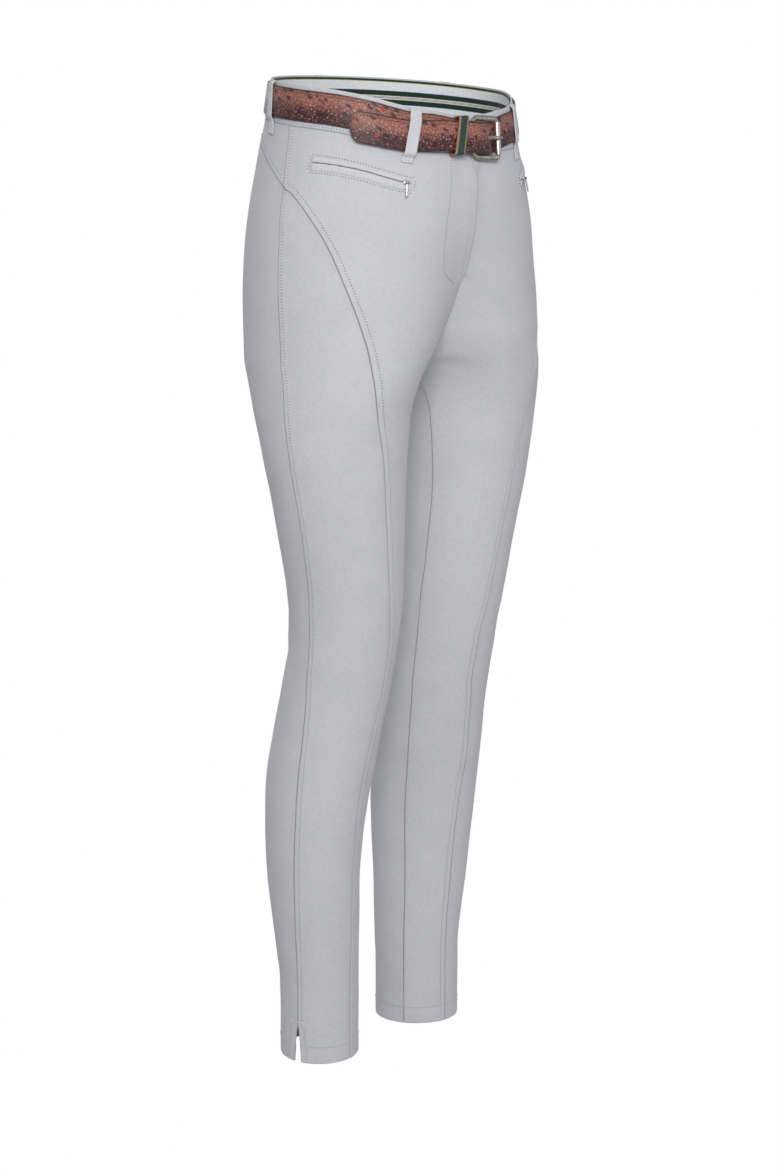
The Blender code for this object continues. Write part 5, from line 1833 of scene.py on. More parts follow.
@dataclass
class Topstitching:
    """All the visible stitching on the cloth."""

    finishes: Finishes
    lift: float = 0.00038
    fly: tuple[tuple[float, float], ...] = (
        (-0.0225, 102.7), (-0.045, 102.4), (-0.066, 101.9), (-0.088, 99.9), (-0.105, 97.5), (-0.119, 94.9),
        (-0.131, 92.0), (-0.14, 89.2), (-0.147, 86.2), (-0.152, 82.6), (-0.1555, 78.6), (-0.1585, 74.5),
        (-0.16, 70.8),
    )

    def build(self) -> None:
        """Builds one piece of stitching for each side and one for the waistband."""
        for side in Side:
            rows = StitchRows(f"stitches_{side.tag}", self.finishes.thread, self.finishes.stitch_gap_shade)
            self.seams(rows, side.value)
            self.hem(rows, side.value)
            self.pocket(rows, side.value)
            if side is Side.RIGHT:
                self.fly_curve(rows)
            rows.build(f"front_{side.tag}")
        band = StitchRows("stitches_waistband", self.finishes.thread, self.finishes.stitch_gap_shade)
        turns = np.linspace(3.0, 357.0, 1000)
        angles, sides = BODY.around(turns)
        band.along(BODY.at(-0.0176, angles, sides, 0.0002), BODY.outward(-0.0176, angles, sides))
        band.build("waistband_right")

    def seams(self, rows: StitchRows, side: int) -> None:
        """Topstitching beside the style, side, yoke and back seams.

        Args:
            rows: The rows of stitches to add to.
            side: -1 for the right side and 1 for the left.
        """
        levels = np.linspace(CROSSING_LEVEL, HEM_LEVEL - 0.004, 1300)
        levels, angles = BODY.shifted(levels, through(SEAMS, Seam.STYLE.value, levels), FELL)
        shown = (angles < BODY.beside(levels, Seam.SIDE, -0.001)) & (levels > HEM_LEVEL + 0.001)
        rows.on_body(levels[shown], angles[shown], side, self.lift)
        levels = np.linspace(-0.0215, SLIT_TOP + 0.003, 1200)
        rows.on_body(levels, BODY.beside(levels, Seam.SIDE, -SIDE_FELL), side, self.lift)
        angles = np.linspace(180.5, 269.5, 600)
        levels, angles = BODY.shifted(through(YOKE_SEAM, 1, angles), angles, -FELL)
        shown = angles > BODY.beside(levels, Seam.SIDE, 0.001)
        rows.on_body(levels[shown], angles[shown], side, self.lift)
        if side < 0:
            levels = np.linspace(-0.048, -0.24, 500)
            rows.on_body(levels, 360 - BODY.edge_angle(levels, FELL), side, self.lift)

    def hem(self, rows: StitchRows, side: int) -> None:
        """The hem's row, the two rows beside the slit and its bar tacks.

        Args:
            rows: The rows of stitches to add to.
            side: -1 for the right side and 1 for the left.
        """
        level = HEM_LEVEL + HEM_DEPTH
        radius = float(through(PROFILE, 3, level))
        aside = math.degrees(0.0075 / radius)
        side_seam = float(through(SEAMS, Seam.SIDE.value, level))
        gap = float(BODY.slit(level)) + aside
        rows.on_body(level, np.linspace(side_seam + gap, side_seam - gap + 360, 900), side, 0.00022)
        for away in (-1, 1):
            levels = np.linspace(HEM_LEVEL + 0.001, SLIT_TOP + 0.003, 200)
            angles = through(SEAMS, Seam.SIDE.value, levels) + away * (BODY.slit(levels) + aside)
            rows.on_body(levels, angles, side, 0.00022)
            across = side_seam + away * np.linspace(0.7, 1.25 * aside, 30)
            for step in (0.0034, 0.004):
                rows.on_body(SLIT_TOP + step, across, side, self.lift, pitch=0.0016, length=0.0015)

    def pocket(self, rows: StitchRows, side: int) -> None:
        """The rectangle round a pocket.

        Args:
            rows: The rows of stitches to add to.
            side: -1 for the right side and 1 for the left.
        """
        angles = np.linspace(120.4, 167.8, 300)
        top = through(POCKET, 1, angles) + 0.0018
        foot = through(POCKET, 3, angles) - 0.002
        rows.on_body(top, angles, side, 0.0002)
        rows.on_body(foot, angles, side, 0.0002)
        for k in (0, -1):
            rows.on_body(np.linspace(top[k], foot[k], 60), angles[k], side, 0.0002)

    def fly_curve(self, rows: StitchRows) -> None:
        """The curved row that holds the fly's facing.

        Args:
            rows: The rows of stitches to add to.
        """
        points = np.array(self.fly)
        run = np.concatenate([[0], np.cumsum(np.hypot(np.diff(points[:, 0]),
                                                      np.diff(points[:, 1]) * 0.0022))])
        at = np.linspace(0, run[-1], 500)
        level, angle = np.interp(at, run, points[:, 0]), np.interp(at, run, points[:, 1])
        rows.on_body(level, angle, -1, 0.0004)
        # Close dark bars round the curve's lower end, in the stitch-gap finish: a line of painted shade.
        turned = at > 0.84 * run[-1]
        line = BODY.at(level[turned], angle[turned] - 0.35, -1, 0.0003)
        normal = BODY.outward(level[turned], angle[turned], -1)
        length = run_length(line, 0)
        rows.beads(line, normal, length, np.arange(0.0005, length[-1], 0.001), 0.0012, 0.00022, 1)


@dataclass
class ZipPockets:
    """The welts, the zips, their sliders and pulls."""

    finishes: Finishes
    front: float = 122.2
    rear: float = 166.4
    slider_level: float = -0.0512
    slider_angle: float = 124.6
    pin_out: float = 0.0048
    eye_bore: float = 0.00085
    eye_radius: float = 0.0016
    tooth: tuple[tuple[float, float], ...] = (
        (-1, -0.6), (-0.6, -1), (0.6, -1), (1, -0.6), (1, 0.6), (0.6, 1), (-0.6, 1), (-1, 0.6),
    )

    def build(self) -> None:
        """Builds both pockets."""
        for side in Side:
            self.welts(side)
            self.teeth(side)
            self.pull(side)
            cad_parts[f"zip_slider_{side.tag}"].material_slots[0].material = self.finishes.zip

    def welts(self, side: Side) -> None:
        """The two folded strips, one above and one below the zip.

        Args:
            side: The side of the body.
        """
        angles = np.linspace(self.front, self.rear, 60)
        top, slit, foot = (through(POCKET, i, angles) for i in (1, 2, 3))
        narrow = 0.00042
        for label, head, tail in (("upper", top, slit + narrow), ("lower", slit - narrow, foot)):
            shares = np.array([0.0, 0.04, 0.12, 0.3, 0.5, 0.7, 0.88, 0.96, 1.0])
            rise = np.array([0.0002, 0.00055, 0.0008, 0.001, 0.00115, 0.00125, 0.00125, 0.001, 0.0004])
            rise = rise if label == "upper" else rise[::-1] * np.array([1, 1, 1, 1, 1, 0.9, 0.75, 0.5, 0.5])
            under = [(s, 0.00025) for s in (1.0, 0.5, 0.0)]
            ring = np.array([*zip(shares, rise), *under])
            levels = head[:, None] + (tail - head)[:, None] * ring[None, :, 0]
            drape = DRAPE.height(levels, angles[:, None], side.value)
            sections = BODY.at(levels, angles[:, None], side.value, ring[None, :, 1] + drape)
            run = run_length(BODY.skin(slit, angles, side.value), 0)
            flat = laid(run[:, None], levels)
            draft = loft(Draft(), sections, flat)
            name = f"pocket_welt_{label}_{side.tag}"
            piece = settle(draft.piece(f"{name}_cloth", [self.finishes.facing], outward=True), name, name)

    def teeth(self, side: Side) -> None:
        """The zip's tape and two rows of teeth that show in the slit.

        Args:
            side: The side of the body.
        """
        draft = Draft()
        angles = np.linspace(self.front + 0.4, self.rear - 0.4, 60)
        slit = through(POCKET, 2, angles)
        ring = np.array([(0.0012, 0.00012), (0.0012, 0.00034), (-0.0012, 0.00034), (-0.0012, 0.00012)])
        levels = slit[:, None] + ring[None, :, 0]
        wide = np.broadcast_to(angles[:, None], levels.shape)
        sections = BODY.at(levels, wide, side.value,
                           ring[None, :, 1] + DRAPE.height(levels, wide, side.value))
        loft(draft, sections, finish=0)
        run = run_length(BODY.skin(slit, angles, side.value), 0)
        for i in range(int(run[-1] / 0.0011)):
            here = np.interp((i + 0.5) * 0.0011, run, angles)
            level = float(through(POCKET, 2, here)) + (0.00012 if i % 2 else -0.00012)
            spot = (level, here, side.value)
            centre = BODY.at(*spot, np.float64(0.00055 + float(DRAPE.height(level, here, side.value))))
            out = BODY.outward(*spot)
            ahead = unit(BODY.skin(level, here + 0.3, side.value) - BODY.skin(level, here - 0.3, side.value))
            up = np.cross(out, ahead)
            box = [centre + ahead * a * 0.00032 + up * b * 0.00042 + out * c * 0.0002
                   for c in (-1, 1) for a, b in self.tooth]
            loft(draft, np.array(box).reshape(2, 8, 3), finish=1, caps=1)
        piece = draft.piece(f"zip_teeth_{side.tag}", [self.finishes.zip_tape, self.finishes.zip],
                            outward=True)
        settle(piece, f"zip_slider_{side.tag}")

    def pull(self, side: Side) -> None:
        """The pull: an eye round the pin and a tapered rod that hangs from it.

        Args:
            side: The side of the body.
        """
        spot = (self.slider_level, self.slider_angle, side.value)
        out = BODY.outward(*spot)
        along = BODY.skin(spot[0], spot[1] + 0.5, side.value) - BODY.skin(spot[0], spot[1] - 0.5, side.value)
        along = unit(along - out * (along @ out))
        up = np.cross(out, along)
        up = up if up[2] > 0 else -up
        pin = BODY.skin(*spot) + out * self.pin_out
        face = np.cross(along, up)
        draft = Draft()
        spokes = np.radians(np.arange(0, 360, 15))
        middle, thick = (self.eye_bore + self.eye_radius) / 2, (self.eye_radius - self.eye_bore) / 2
        rings = []
        for turn in spokes:
            radial = up * cos(turn) + face * sin(turn)
            rings.append([pin + radial * (middle + thick * cos(t)) + along * 0.0009 * sin(t)
                          for t in np.radians(np.arange(22.5, 360, 45))])
        loft(draft, np.array(rings), closed=True)
        profile = ((0.0, 0.00075), (0.001, 0.001), (0.0026, 0.00118), (0.006, 0.00125), (0.01, 0.0013),
                   (0.0113, 0.00128), (0.0118, 0.00112), (0.0121, 0.00125), (0.0124, 0.0009),
                   (0.0125, 0.0003))
        start = pin - up * (self.eye_bore + 0.0005)
        rod = []
        for place, half in profile:
            rod.append([start - up * place + along * half * cos(t) + face * half * 0.62 * sin(t)
                        for t in np.radians(np.arange(0, 360, 30))])
        loft(draft, np.array(rod))
        name = f"zip_pull_{side.tag}"
        settle(draft.piece(f"{name}_metal", [self.finishes.zip], outward=True), name, name, body=name)


@dataclass
class Belt:
    """The leather strap, its keeper and the roller buckle."""

    finishes: Finishes
    half_width: float = 0.015
    stitch_row: float = 0.0114
    bar_radius: float = 0.0018
    frame_half_height: float = 0.0191
    heel_turn: float = 0.5
    heel_level: float = -0.0074
    heel_out: float = 0.005
    roller_turn: float = 345.9
    roller_level: float = -0.0093
    roller_out: float = 0.007
    frame_tilt: float = 0.03
    hole_radius: float = 0.002
    holes: tuple[float, ...] = (335.5, 361.1, 372.6)
    prong_slot: float = 351.6
    stations: tuple[tuple[float, float, float, float, float], ...] = (  # turn, out, drop, wall, width share
        (4.3, 0.00105, 0.0066, 0.0011, 1.0), (2.3, 0.00105, 0.007, 0.0011, 1.0),
        (0.5, 0.00105, 0.0074, 0.0011, 1.0), (-0.9, 0.0021, 0.0074, 0.0014, 1.0),
        (-1.5, 0.005, 0.0074, 0.0018, 1.0), (-1.1, 0.0075, 0.0074, 0.002, 1.0),
        (0.2, 0.0084, 0.0074, 0.0022, 1.0), (1.9, 0.0079, 0.0071, 0.0022, 1.0),
        (3.5, 0.0066, 0.0066, 0.0022, 1.0), (5.1, 0.0051, 0.006, 0.0022, 1.0),
        (7.4, 0.004, 0.0051, 0.0022, 1.0), (10.9, 0.0034, 0.0038, 0.0022, 1.0),
        (13.9, 0.0034, 0.0027, 0.0022, 1.0), (17.2, 0.003, 0.0015, 0.0022, 1.0),
        (22.0, 0.0018, 0.0, 0.0022, 1.0), (331.0, 0.0017, 0.0, 0.0022, 1.0),
        (335.0, 0.0017, 0.0008, 0.0022, 1.0), (338.2, 0.0017, 0.0018, 0.0022, 1.0),
        (342.2, 0.0017, 0.0038, 0.0022, 1.0), (345.9, 0.0018, 0.0062, 0.0022, 1.0),
        (348.2, 0.0024, 0.0076, 0.0022, 1.0), (349.8, 0.0043, 0.0085, 0.0022, 1.0),
        (351.7, 0.007, 0.0089, 0.0022, 1.0), (353.5, 0.0091, 0.0091, 0.0022, 1.0),
        (355.9, 0.0106, 0.0091, 0.0022, 1.0), (358.1, 0.0111, 0.0089, 0.0022, 1.0),
        (360.7, 0.0111, 0.0086, 0.0022, 1.0), (363.1, 0.0102, 0.0082, 0.0022, 1.0),
        (365.3, 0.0084, 0.0078, 0.0022, 1.0), (367.9, 0.0073, 0.0073, 0.0022, 1.0),
        (370.9, 0.0064, 0.0068, 0.0022, 1.0), (374.1, 0.0058, 0.0063, 0.0022, 1.0),
        (377.4, 0.0054, 0.006, 0.0022, 1.0), (386.0, 0.0042, 0.0066, 0.0022, 1.0),
        (394.0, 0.0042, 0.0082, 0.0022, 1.0), (403.0, 0.0042, 0.0098, 0.0022, 1.0),
        (411.5, 0.0042, 0.011, 0.0022, 1.0), (415.0, 0.0042, 0.0113, 0.0022, 0.93),
        (417.2, 0.0042, 0.0115, 0.0022, 0.76), (418.6, 0.0042, 0.0116, 0.002, 0.52),
        (419.3, 0.0042, 0.0116, 0.0016, 0.25),
    )
    line: dict[str, Array] = field(default_factory=dict)

    def build(self) -> None:
        """Builds the strap and what is on it."""
        self.line = self._centre_line()
        self.strap()
        self.stitches()
        self.keeper()
        self.buckle()

    def _centre_line(self) -> dict[str, Array]:
        """The strap's centre line, from the fold round the bar to the tip.

        Returns:
            Arrays by name: points, up, face, run, width, wall and turn.
        """
        rows = []
        for here, after in zip(self.stations, self.stations[1:]):
            steps = max(1, round((after[0] - here[0]) / 2.6))
            rows += [np.array(here) + (np.array(after) - np.array(here)) * i / steps for i in range(steps)]
        rows = np.array([*rows, np.array(self.stations[-1])])
        knots = np.concatenate([BODY.waist(rows[:, 0], -rows[:, 2], rows[:, 1]), rows], axis=1)
        before = np.vstack([2 * knots[:1] - knots[1:2], knots[:-2]])
        after = np.vstack([knots[2:], 2 * knots[-1:] - knots[-2:-1]])
        dense = []
        for i in range(len(knots) - 1):
            steps = max(2, round(np.linalg.norm(knots[i + 1, :3] - knots[i, :3]) / 0.0013))
            for t in np.arange(steps) / steps:
                a, b, c, d = before[i], knots[i], knots[i + 1], after[i]
                curve = 0.5 * (2 * b + (c - a) * t + (2 * a - 5 * b + 4 * c - d) * t**2
                               + (3 * b - a - 3 * c + d) * t**3)
                curve[3:] = b[3:] + (c[3:] - b[3:]) * t
                dense.append(curve)
        dense = np.array([*dense, knots[-1]])
        points = dense[:, :3]
        ahead = unit(np.gradient(points, axis=0))
        _, up, _ = BODY.waist_axes(dense[:, 3], -dense[:, 5])
        up = unit(up - ahead * np.sum(up * ahead, axis=-1, keepdims=True))
        run = run_length(points, 0)
        width = dense[:, 7].copy()
        left = run[-1] - run
        tip = np.sqrt(np.clip(1 - (1 - np.clip(left / 0.0125, 0, 1)) ** 2.2, 0, 1))
        width = np.minimum(np.maximum(tip, 0.2), 1.0)
        return {"points": points, "up": up, "face": -np.cross(ahead, up), "run": run, "width": width,
                "wall": dense[:, 6], "turn": dense[:, 3]}

    def _section(self, half: float, wall: float) -> Array:
        """One section of the strap, as height and thickness from its middle, grain side first.

        Args:
            half: Half the strap's height.
            wall: The strap's thickness.

        Returns:
            The points of the section.
        """
        edge = min(0.0006, half / 3)
        top = wall / 2
        grain = []
        for place in np.concatenate([np.linspace(1, 0.8, 4), [0.785, 0.76, 0.735, 0.715],
                                     np.linspace(0.6, -0.6, 7),
                                     [-0.715, -0.735, -0.76, -0.785], np.linspace(-0.8, -1, 4)]):
            u = place * (half - edge)
            crown = 0.00012 * (1 - min(1.0, abs(place) / 0.7) ** 4)
            groove = 0.00022 * float(bell(abs(u) - self.stitch_row * half / self.half_width, 0.0005))
            grain.append((u, top + crown - groove))
        rim = top - edge
        low_round = [(-half + edge * (1 - sin(a)), rim + edge * cos(a)) for a in np.radians((35, 65, 90))]
        low_back = [(-half + edge * (1 - sin(a)), -rim - edge * cos(a)) for a in np.radians((90, 55, 20))]
        back = [(u, -top) for u in np.linspace(-(half - edge) * 0.9, (half - edge) * 0.9, 5)]
        high_back = [(-u, v) for u, v in low_back[::-1]]
        high_round = [(-u, v) for u, v in low_round[::-1]]
        return np.array([*grain, *low_round, *low_back, *back, *high_back, *high_round])

    def strap(self) -> None:
        """The strap, with its holes and slots cut through."""
        line = self.line
        rings = np.array([self._section(self.half_width * w, t) for w, t in zip(line["width"], line["wall"])])
        points, up, face = (line[name][:, None, :] for name in ("points", "up", "face"))
        points = points + up * rings[..., 0:1] + face * rings[..., 1:2]
        flat = laid(line["run"][:, None], rings[..., 0])
        sides = rings.shape[1]
        finish = [0 if k < 22 else 1 for k in range(sides)]
        draft = loft(Draft(), points, flat, finish=finish, caps=1)
        materials = [self.finishes.strap, self.finishes.strap_edge, self.finishes.raw_leather]
        strap = draft.piece("belt_strap_leather", materials, outward=True)
        cutters = [self._cutter(turn, self.hole_radius, self.hole_radius, 0.004) for turn in self.holes]
        cutters.append(self._cutter(self.prong_slot, 0.0047, 0.003, 0.009))
        cutters.append(self._fold_cutter())
        self._cut(strap, cutters)
        settle(strap, "belt_strap", "belt_strap")

    def _hollow(self, name: str, centre: Array, along: Array, up: Array, out: Array,
                sizes: tuple[float, float, float], sides: int) -> Thing:
        """A prism used to cut the strap.

        Args:
            name: The piece's name.
            centre: The middle of the prism.
            along: The direction along the strap.
            up: The direction up the strap.
            out: The direction through the strap.
            sizes: Its half length, half height and depth.
            sides: How many sides it has.

        Returns:
            The prism.
        """
        start = 0.5 if sides == 4 else 0.0
        spokes = 2 * np.pi * (np.arange(sides) + start) / sides
        long, wide, deep = sizes
        rings = [[centre + out * z * deep / 2 + along * long * cos(t) + up * wide * sin(t) for t in spokes]
                 for z in (-1, 1)]
        draft = loft(Draft(), np.array(rings), finish=2, caps=2)
        return draft.piece(name, [self.finishes.raw_leather] * 3, outward=True)

    def _cutter(self, turn: float, long: float, wide: float, depth: float) -> Thing:
        """The cutter of one hole, square to the strap at a turn.

        Args:
            turn: The hole's turn round the waist.
            long: Half its length.
            wide: Half its height.
            depth: Its depth.

        Returns:
            The cutter.
        """
        k = int(np.argmin(np.abs(self.line["turn"] - turn) + 99 * (self.line["run"] < 0.2)))
        centre, up, face = (self.line[name][k] for name in ("points", "up", "face"))
        if long > self.hole_radius:
            centre = centre + up * 0.0004
        return self._hollow("hole", centre, np.cross(up, face), up, face, (long, wide, depth), 20)

    def _fold_cutter(self) -> Thing:
        """The cutter of the slot at the fold, where the prong comes through.

        Returns:
            The cutter.
        """
        level = self.heel_level
        along, up, away = BODY.waist_axes(self.heel_turn, level)
        centre = BODY.waist(self.heel_turn - 0.5, level, self.heel_out + 0.0003)
        return self._hollow("fold", centre, along, up, away, (0.0064, 0.0044, 0.008), 4)

    @staticmethod
    def _cut(thing: Thing, cutters: Sequence[Thing]) -> None:
        """Cuts each cutter out of a piece and removes the cutter.

        Args:
            thing: The piece to cut.
            cutters: The pieces to cut with.
        """
        for cutter in cutters:
            taken = thing.modifiers.new(cutter.name, "BOOLEAN")
            taken.operation, taken.solver, taken.object = "DIFFERENCE", "EXACT", cutter
        ready = thing.evaluated_get(bpy.context.evaluated_depsgraph_get())
        mesh = bpy.data.meshes.new_from_object(ready)
        thing.modifiers.clear()
        thing.data = mesh
        mesh.name = thing.name
        for cutter in cutters:
            bpy.data.objects.remove(cutter, do_unlink=True)

    def stitches(self) -> None:
        """Two rows along the strap, which meet round its tip."""
        line = self.line
        # The gaps between the belt's stitches get dark bars of painted shade, in the strap-edge leather.
        rows = StitchRows("belt_stitches", self.finishes.belt_thread, self.finishes.strap_edge, 0.0003)
        shown = np.flatnonzero((line["run"] > 0.024) & (line["width"] > 0.55))
        half = self.half_width * line["width"][shown]
        inset = np.minimum(self.stitch_row, half - (self.half_width - self.stitch_row))
        lift = line["wall"][shown] / 2 + 0.00002
        edges = {}
        for sign in (1, -1):
            edges[sign] = (line["points"][shown] + line["up"][shown] * (sign * inset)[:, None]
                           + line["face"][shown] * lift[:, None])
        path = np.vstack([edges[1], edges[-1][::-1]])
        normal = np.vstack([line["face"][shown], line["face"][shown][::-1]])
        rows.along(path, normal, pitch=0.0034, length=0.0024)
        rows.build("belt_strap")

    def keeper(self) -> None:
        """The keeper round both layers of the strap."""
        first, last = 6.6, 11.4
        low, high, half, drop, lean = 0.002, 0.0086, self.half_width + 0.0027, 0.006, 130.0
        outline = []
        for cu, cv, turn in corner_turns(7):
            corner = high - 0.001 if cv > 0 else low + 0.001
            outline.append((cu * (half - 0.001) + 0.001 * cos(turn), corner + 0.001 * sin(turn)))
        fine = []
        for a, b in zip(np.array(outline), np.roll(outline, -1, 0)):
            steps = max(1, round(np.hypot(*(b - a)) / 0.003))
            fine += [a + (b - a) * i / steps for i in range(steps)]
        fine = np.array(fine)
        tangent = unit(np.roll(fine, -1, 0) - np.roll(fine, 1, 0))
        u, v, nu, nv = (values[:, None] for values in (*fine.T, tangent[:, 1], -tangent[:, 0]))
        place, rise = np.array([(-1, 0.0), (-0.94, 1.0), (-0.8, 1.12), (-0.4, 1.0), (0, 0.96), (0.4, 1.0),
                                (0.8, 1.12),
                                (0.94, 1.0), (1, 0.0), (0.0, 0.0)]).T
        turn = (first + last) / 2 + (last - first) / 2 * place
        lift = np.where(v > 0.005, 0.0018 * (last - turn) / (last - first), 0.0)
        shifted = turn - lean * u
        _, up, away = BODY.waist_axes(shifted, -drop)
        thick = 0.0014 * rise
        sections = (BODY.waist(shifted, -drop) + up * (u + nu * thick)[..., None]
                    + away * (v + nv * thick + lift)[..., None])
        finish = [1, 1, 0, 0, 0, 0, 1, 1, 1, 1]
        draft = loft(Draft(), sections, laid(place * 0.0047, u), closed=True, finish=finish)
        finishes = [self.finishes.keeper, self.finishes.keeper_edge]
        settle(draft.piece("belt_keeper_leather", finishes, outward=True), "belt_keeper", "belt_keeper")

    def buckle(self) -> None:
        """The frame, its roller and the prong that rests on it."""
        heel = BODY.waist(self.heel_turn, self.heel_level, self.heel_out)
        far = BODY.waist(self.roller_turn, self.roller_level, self.roller_out)
        _, up, away = BODY.waist_axes(353.0, (self.heel_level + self.roller_level) / 2)
        up = up + away * self.frame_tilt
        along = far - heel
        length = float(np.linalg.norm(along))
        along = along / length
        up = unit(up - along * (up @ along))
        away = np.cross(along, up)
        away = away if away[1] < 0 else -away
        self._frame(heel, far, along, up, away, length)
        self._roller(far, along, up, away)
        self._prong(heel, along, up, away)

    def _frame(self, heel: Array, far: Array, along: Array, up: Array, away: Array,
               length: float) -> None:
        """The frame: an oval bar round four soft corners, broader on its two arms.

        Args:
            heel: The middle of the heel bar.
            far: The middle of the far bar.
            along: The direction along the strap.
            up: The direction up the strap.
            away: The direction away from the wearer.
            length: How far the middles of the two bars are apart.
        """
        draft = Draft()
        path, broad = [], []
        for cu, cv, turn in corner_turns(10):
            corner = 0.004 if cu > 0 else 0.0078
            u = cu * (length / 2 - corner) + corner * cos(turn)
            v = cv * (self.frame_half_height - corner) + corner * sin(turn)
            path.append((heel + far) / 2 + along * u + up * v)
            broad.append(abs(sin(turn)) ** 1.5)
        path = np.array(path)
        filled, size = [], []
        for i, point in enumerate(path):
            after = path[(i + 1) % len(path)]
            steps = max(1, round(np.linalg.norm(after - point) / 0.002))
            for t in np.arange(steps) / steps:
                filled.append(point + (after - point) * t)
                size.append(broad[i] + (broad[(i + 1) % len(path)] - broad[i]) * t)
        filled, size = np.array(filled), np.array(size)
        ahead = unit(np.roll(filled, -1, 0) - np.roll(filled, 1, 0))
        outer = np.cross(ahead, away)
        spokes = np.radians(np.arange(0, 360, 22.5))
        wide = (self.bar_radius + 0.0009 * size)[:, None, None]
        thick = (self.bar_radius - 0.00025 * size)[:, None, None]
        across, rise = np.cos(spokes)[:, None], (np.sign(np.sin(spokes)) * np.abs(np.sin(spokes)) ** 0.8)[:,
                                                                                                          None]
        ring = outer[:, None, :] * wide * across + away * thick * rise
        loft(draft, filled[:, None, :] + ring, closed=True)
        settle(draft.piece("buckle_frame_metal", [self.finishes.buckle], outward=True), "buckle_frame",
               "buckle_frame")

    def _roller(self, far: Array, along: Array, up: Array, away: Array) -> None:
        """The roller: a thin tube with rolled ends.

        Args:
            far: The middle of the far bar.
            along: The direction along the strap.
            up: The direction up the strap.
            away: The direction away from the wearer.
        """
        draft = Draft()
        bore, radius, half = 0.0021, 0.0031, 0.0161
        profile = [(-half, bore), (-half, radius - 0.0003), (-half + 0.0003, radius),
                   (-half + 0.0012, radius),
                   (-half + 0.0016, radius - 0.00018), (-half + 0.0021, radius)]
        profile += [(x, radius) for x in np.linspace(-0.0125, 0.0125, 9)]
        profile += [(-x, r) for x, r in profile[5::-1]]
        rings = []
        for turn in np.radians(np.arange(0, 360, 12)):
            spoke = along * cos(turn) + away * sin(turn)
            rings.append([far + up * x + spoke * r for x, r in profile])
        loft(draft, np.array(rings), closed=True)
        settle(draft.piece("buckle_roller_metal", [self.finishes.roller], outward=True), "buckle_roller",
               "buckle_roller")

    def _prong(self, heel: Array, along: Array, up: Array, away: Array) -> None:
        """The prong: an eye round the heel bar and a bar that tapers to a round tip on the roller.

        Args:
            heel: The middle of the heel bar.
            along: The direction along the strap.
            up: The direction up the strap.
            away: The direction away from the wearer.
        """
        draft = Draft()
        rings = []
        for turn in np.radians(np.arange(0, 360, 20)):
            spoke = along * cos(turn) + away * sin(turn)
            rings.append([heel + up * (0.0025 * a) + spoke * (self.bar_radius + 0.0003 + 0.0011 * b)
                          for a, b in ((-1, 0), (-1, 0.7), (-0.8, 1), (0.8, 1), (1, 0.7), (1, 0))])
        loft(draft, np.array(rings), closed=True)
        places = np.array([
            (359.5, 0.006, 0.0018, 0.0008), (357.6, 0.0061, 0.0019, 0.0009), (355.8, 0.0062, 0.0019, 0.0009),
            (354.1, 0.0064, 0.0019, 0.0009), (352.9, 0.007, 0.0019, 0.0009), (351.9, 0.0079, 0.0019, 0.0009),
            (350.8, 0.0092, 0.0019, 0.0009), (349.5, 0.0104, 0.0019, 0.0009), (347.6, 0.0113, 0.0019, 0.0009),
            (346.0, 0.0115, 0.0018, 0.0009), (345.1, 0.0114, 0.0015, 0.0008), (344.6, 0.0112, 0.0006, 0.0004),
        ])
        share = ((places[:, 0] - self.heel_turn) % 360 - 360) / (self.roller_turn - self.heel_turn - 360)
        levels = self.heel_level + (self.roller_level - self.heel_level) * share
        centres = BODY.waist(places[:, 0], levels, places[:, 1])
        ahead = unit(np.gradient(centres, axis=0))
        rise = unit(up - ahead * (ahead @ up)[:, None])
        face = np.cross(ahead, rise)
        sections = []
        for centre, u, f, (_, _, half, thick) in zip(centres, rise, face, places):
            sections.append([centre + u * half * cos(t) + f * thick * np.sign(sin(t)) * abs(sin(t)) ** 0.7
                             for t in np.radians(np.arange(0, 360, 22.5))])
        loft(draft, np.array(sections))
        settle(draft.piece("buckle_prong_metal", [self.finishes.buckle], outward=True), "buckle_prong",
               "buckle_prong")


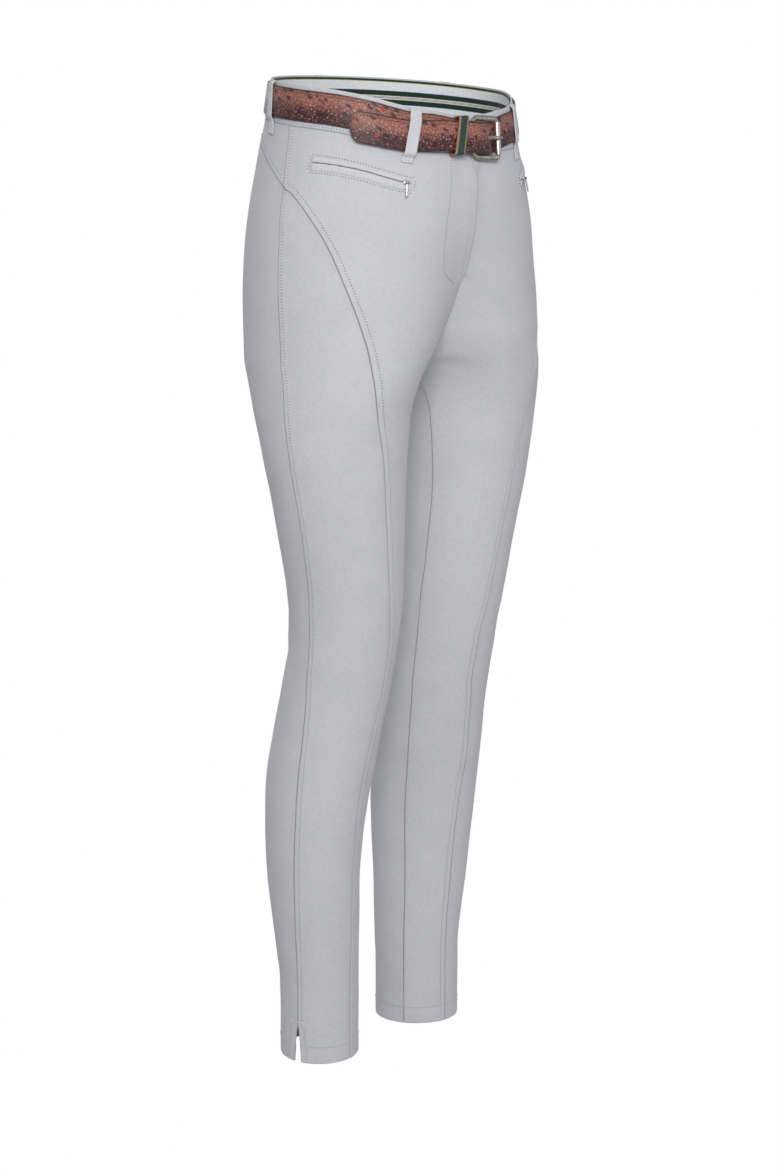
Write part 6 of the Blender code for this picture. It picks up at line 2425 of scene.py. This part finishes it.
@dataclass
class Studio:
    """The floor, the lights and the camera."""

    finishes: Finishes
    distance: float = 2.55
    azimuth: float = -48.0
    pitch: float = 10.8
    height: float = 0.003
    image: tuple[int, int] = (782, 1175)
    focal: float = 2500.0
    centre: float = 393.0

    def build(self) -> None:
        """Sets up the studio."""
        bpy.context.scene.view_settings.view_transform = "Standard"
        self._floor()
        self._world()
        self._lights()
        self._camera()

    def _forward(self) -> Vector:
        """The level direction in which the camera looks."""
        turn = math.radians(self.azimuth)
        return Vector((-sin(turn), cos(turn), 0.0))

    def _floor(self) -> None:
        """A wide pale floor just below the hems."""
        draft = Draft()
        size, level = 14.0, FIRST_BOUNDS[0][2] - 0.012
        corners = np.array([(-size, -size, level), (size, -size, level), (size, size, level),
                            (-size, size, level)])
        draft.add(corners, [[0, 1, 2, 3]])
        draft.piece("floor", [self.finishes.floor])

    @staticmethod
    def _world() -> None:
        """White behind the garment, and a soft even light from all round."""
        world = bpy.data.worlds.new("studio")
        bpy.context.scene.world = world
        world.use_nodes = True
        tree = NodeTree(world.node_tree)
        world.node_tree.nodes.clear()
        white = tree.node("ShaderNodeBackground", Color=(1, 1, 1, 1), Strength=1.0)
        soft = tree.node("ShaderNodeBackground", Color=(0.95, 0.96, 1.0, 1), Strength=0.42)
        blend = tree.blend(tree.node("ShaderNodeLightPath").outputs["Is Camera Ray"], soft, white)
        tree.feed(tree.node("ShaderNodeOutputWorld").inputs["Surface"], blend.outputs[0])

    def _lights(self) -> None:
        """A broad light from the front and above, and weaker ones from the wearer's left and from behind."""
        target = Vector((0.0, 0.0, -0.42))
        for name, place, size, power in (
            ("front_light", (-1.95, -2.05, 1.05), 1.3, 56.0),
            ("left_light", (1.6, -2.4, 0.3), 1.6, 5.0),
            ("back_light", (0.9, 2.7, 0.9), 2.2, 26.0),
        ):
            data = bpy.data.lights.new(name, "AREA")
            data.shape, data.size, data.energy = "DISK", size, power
            light = bpy.data.objects.new(name, data)
            light.location = place
            light.rotation_euler = (target - Vector(place)).to_track_quat("-Z", "Y").to_euler()
            bpy.context.scene.collection.objects.link(light)

    def _camera(self) -> None:
        """The camera, at the height of the waist and tipped down."""
        data = bpy.data.cameras.new("camera")
        data.sensor_fit, data.sensor_height = "VERTICAL", 36.0
        data.lens = self.focal / self.image[1] * data.sensor_height
        data.shift_x = (self.image[0] / 2 - self.centre) / self.image[1]
        camera = bpy.data.objects.new("camera", data)
        ahead = self._forward()
        camera.location = -ahead * self.distance + Vector((0, 0, self.height))
        tipped = ahead * cos(math.radians(self.pitch)) - Vector((0, 0, sin(math.radians(self.pitch))))
        camera.rotation_euler = tipped.to_track_quat("-Z", "Y").to_euler()
        bpy.context.scene.collection.objects.link(camera)
        bpy.context.scene.camera = camera


def main() -> None:
    logging.basicConfig(level=logging.INFO, format="%(name)s %(message)s")
    finishes = Finishes()
    Studio(finishes).build()
    for part in (Trousers, Waistband, BeltLoops, Topstitching, ZipPockets, Belt):
        log.info("building %s", part.__name__)
        part(finishes).build()


if __name__ == "__main__":
    main()
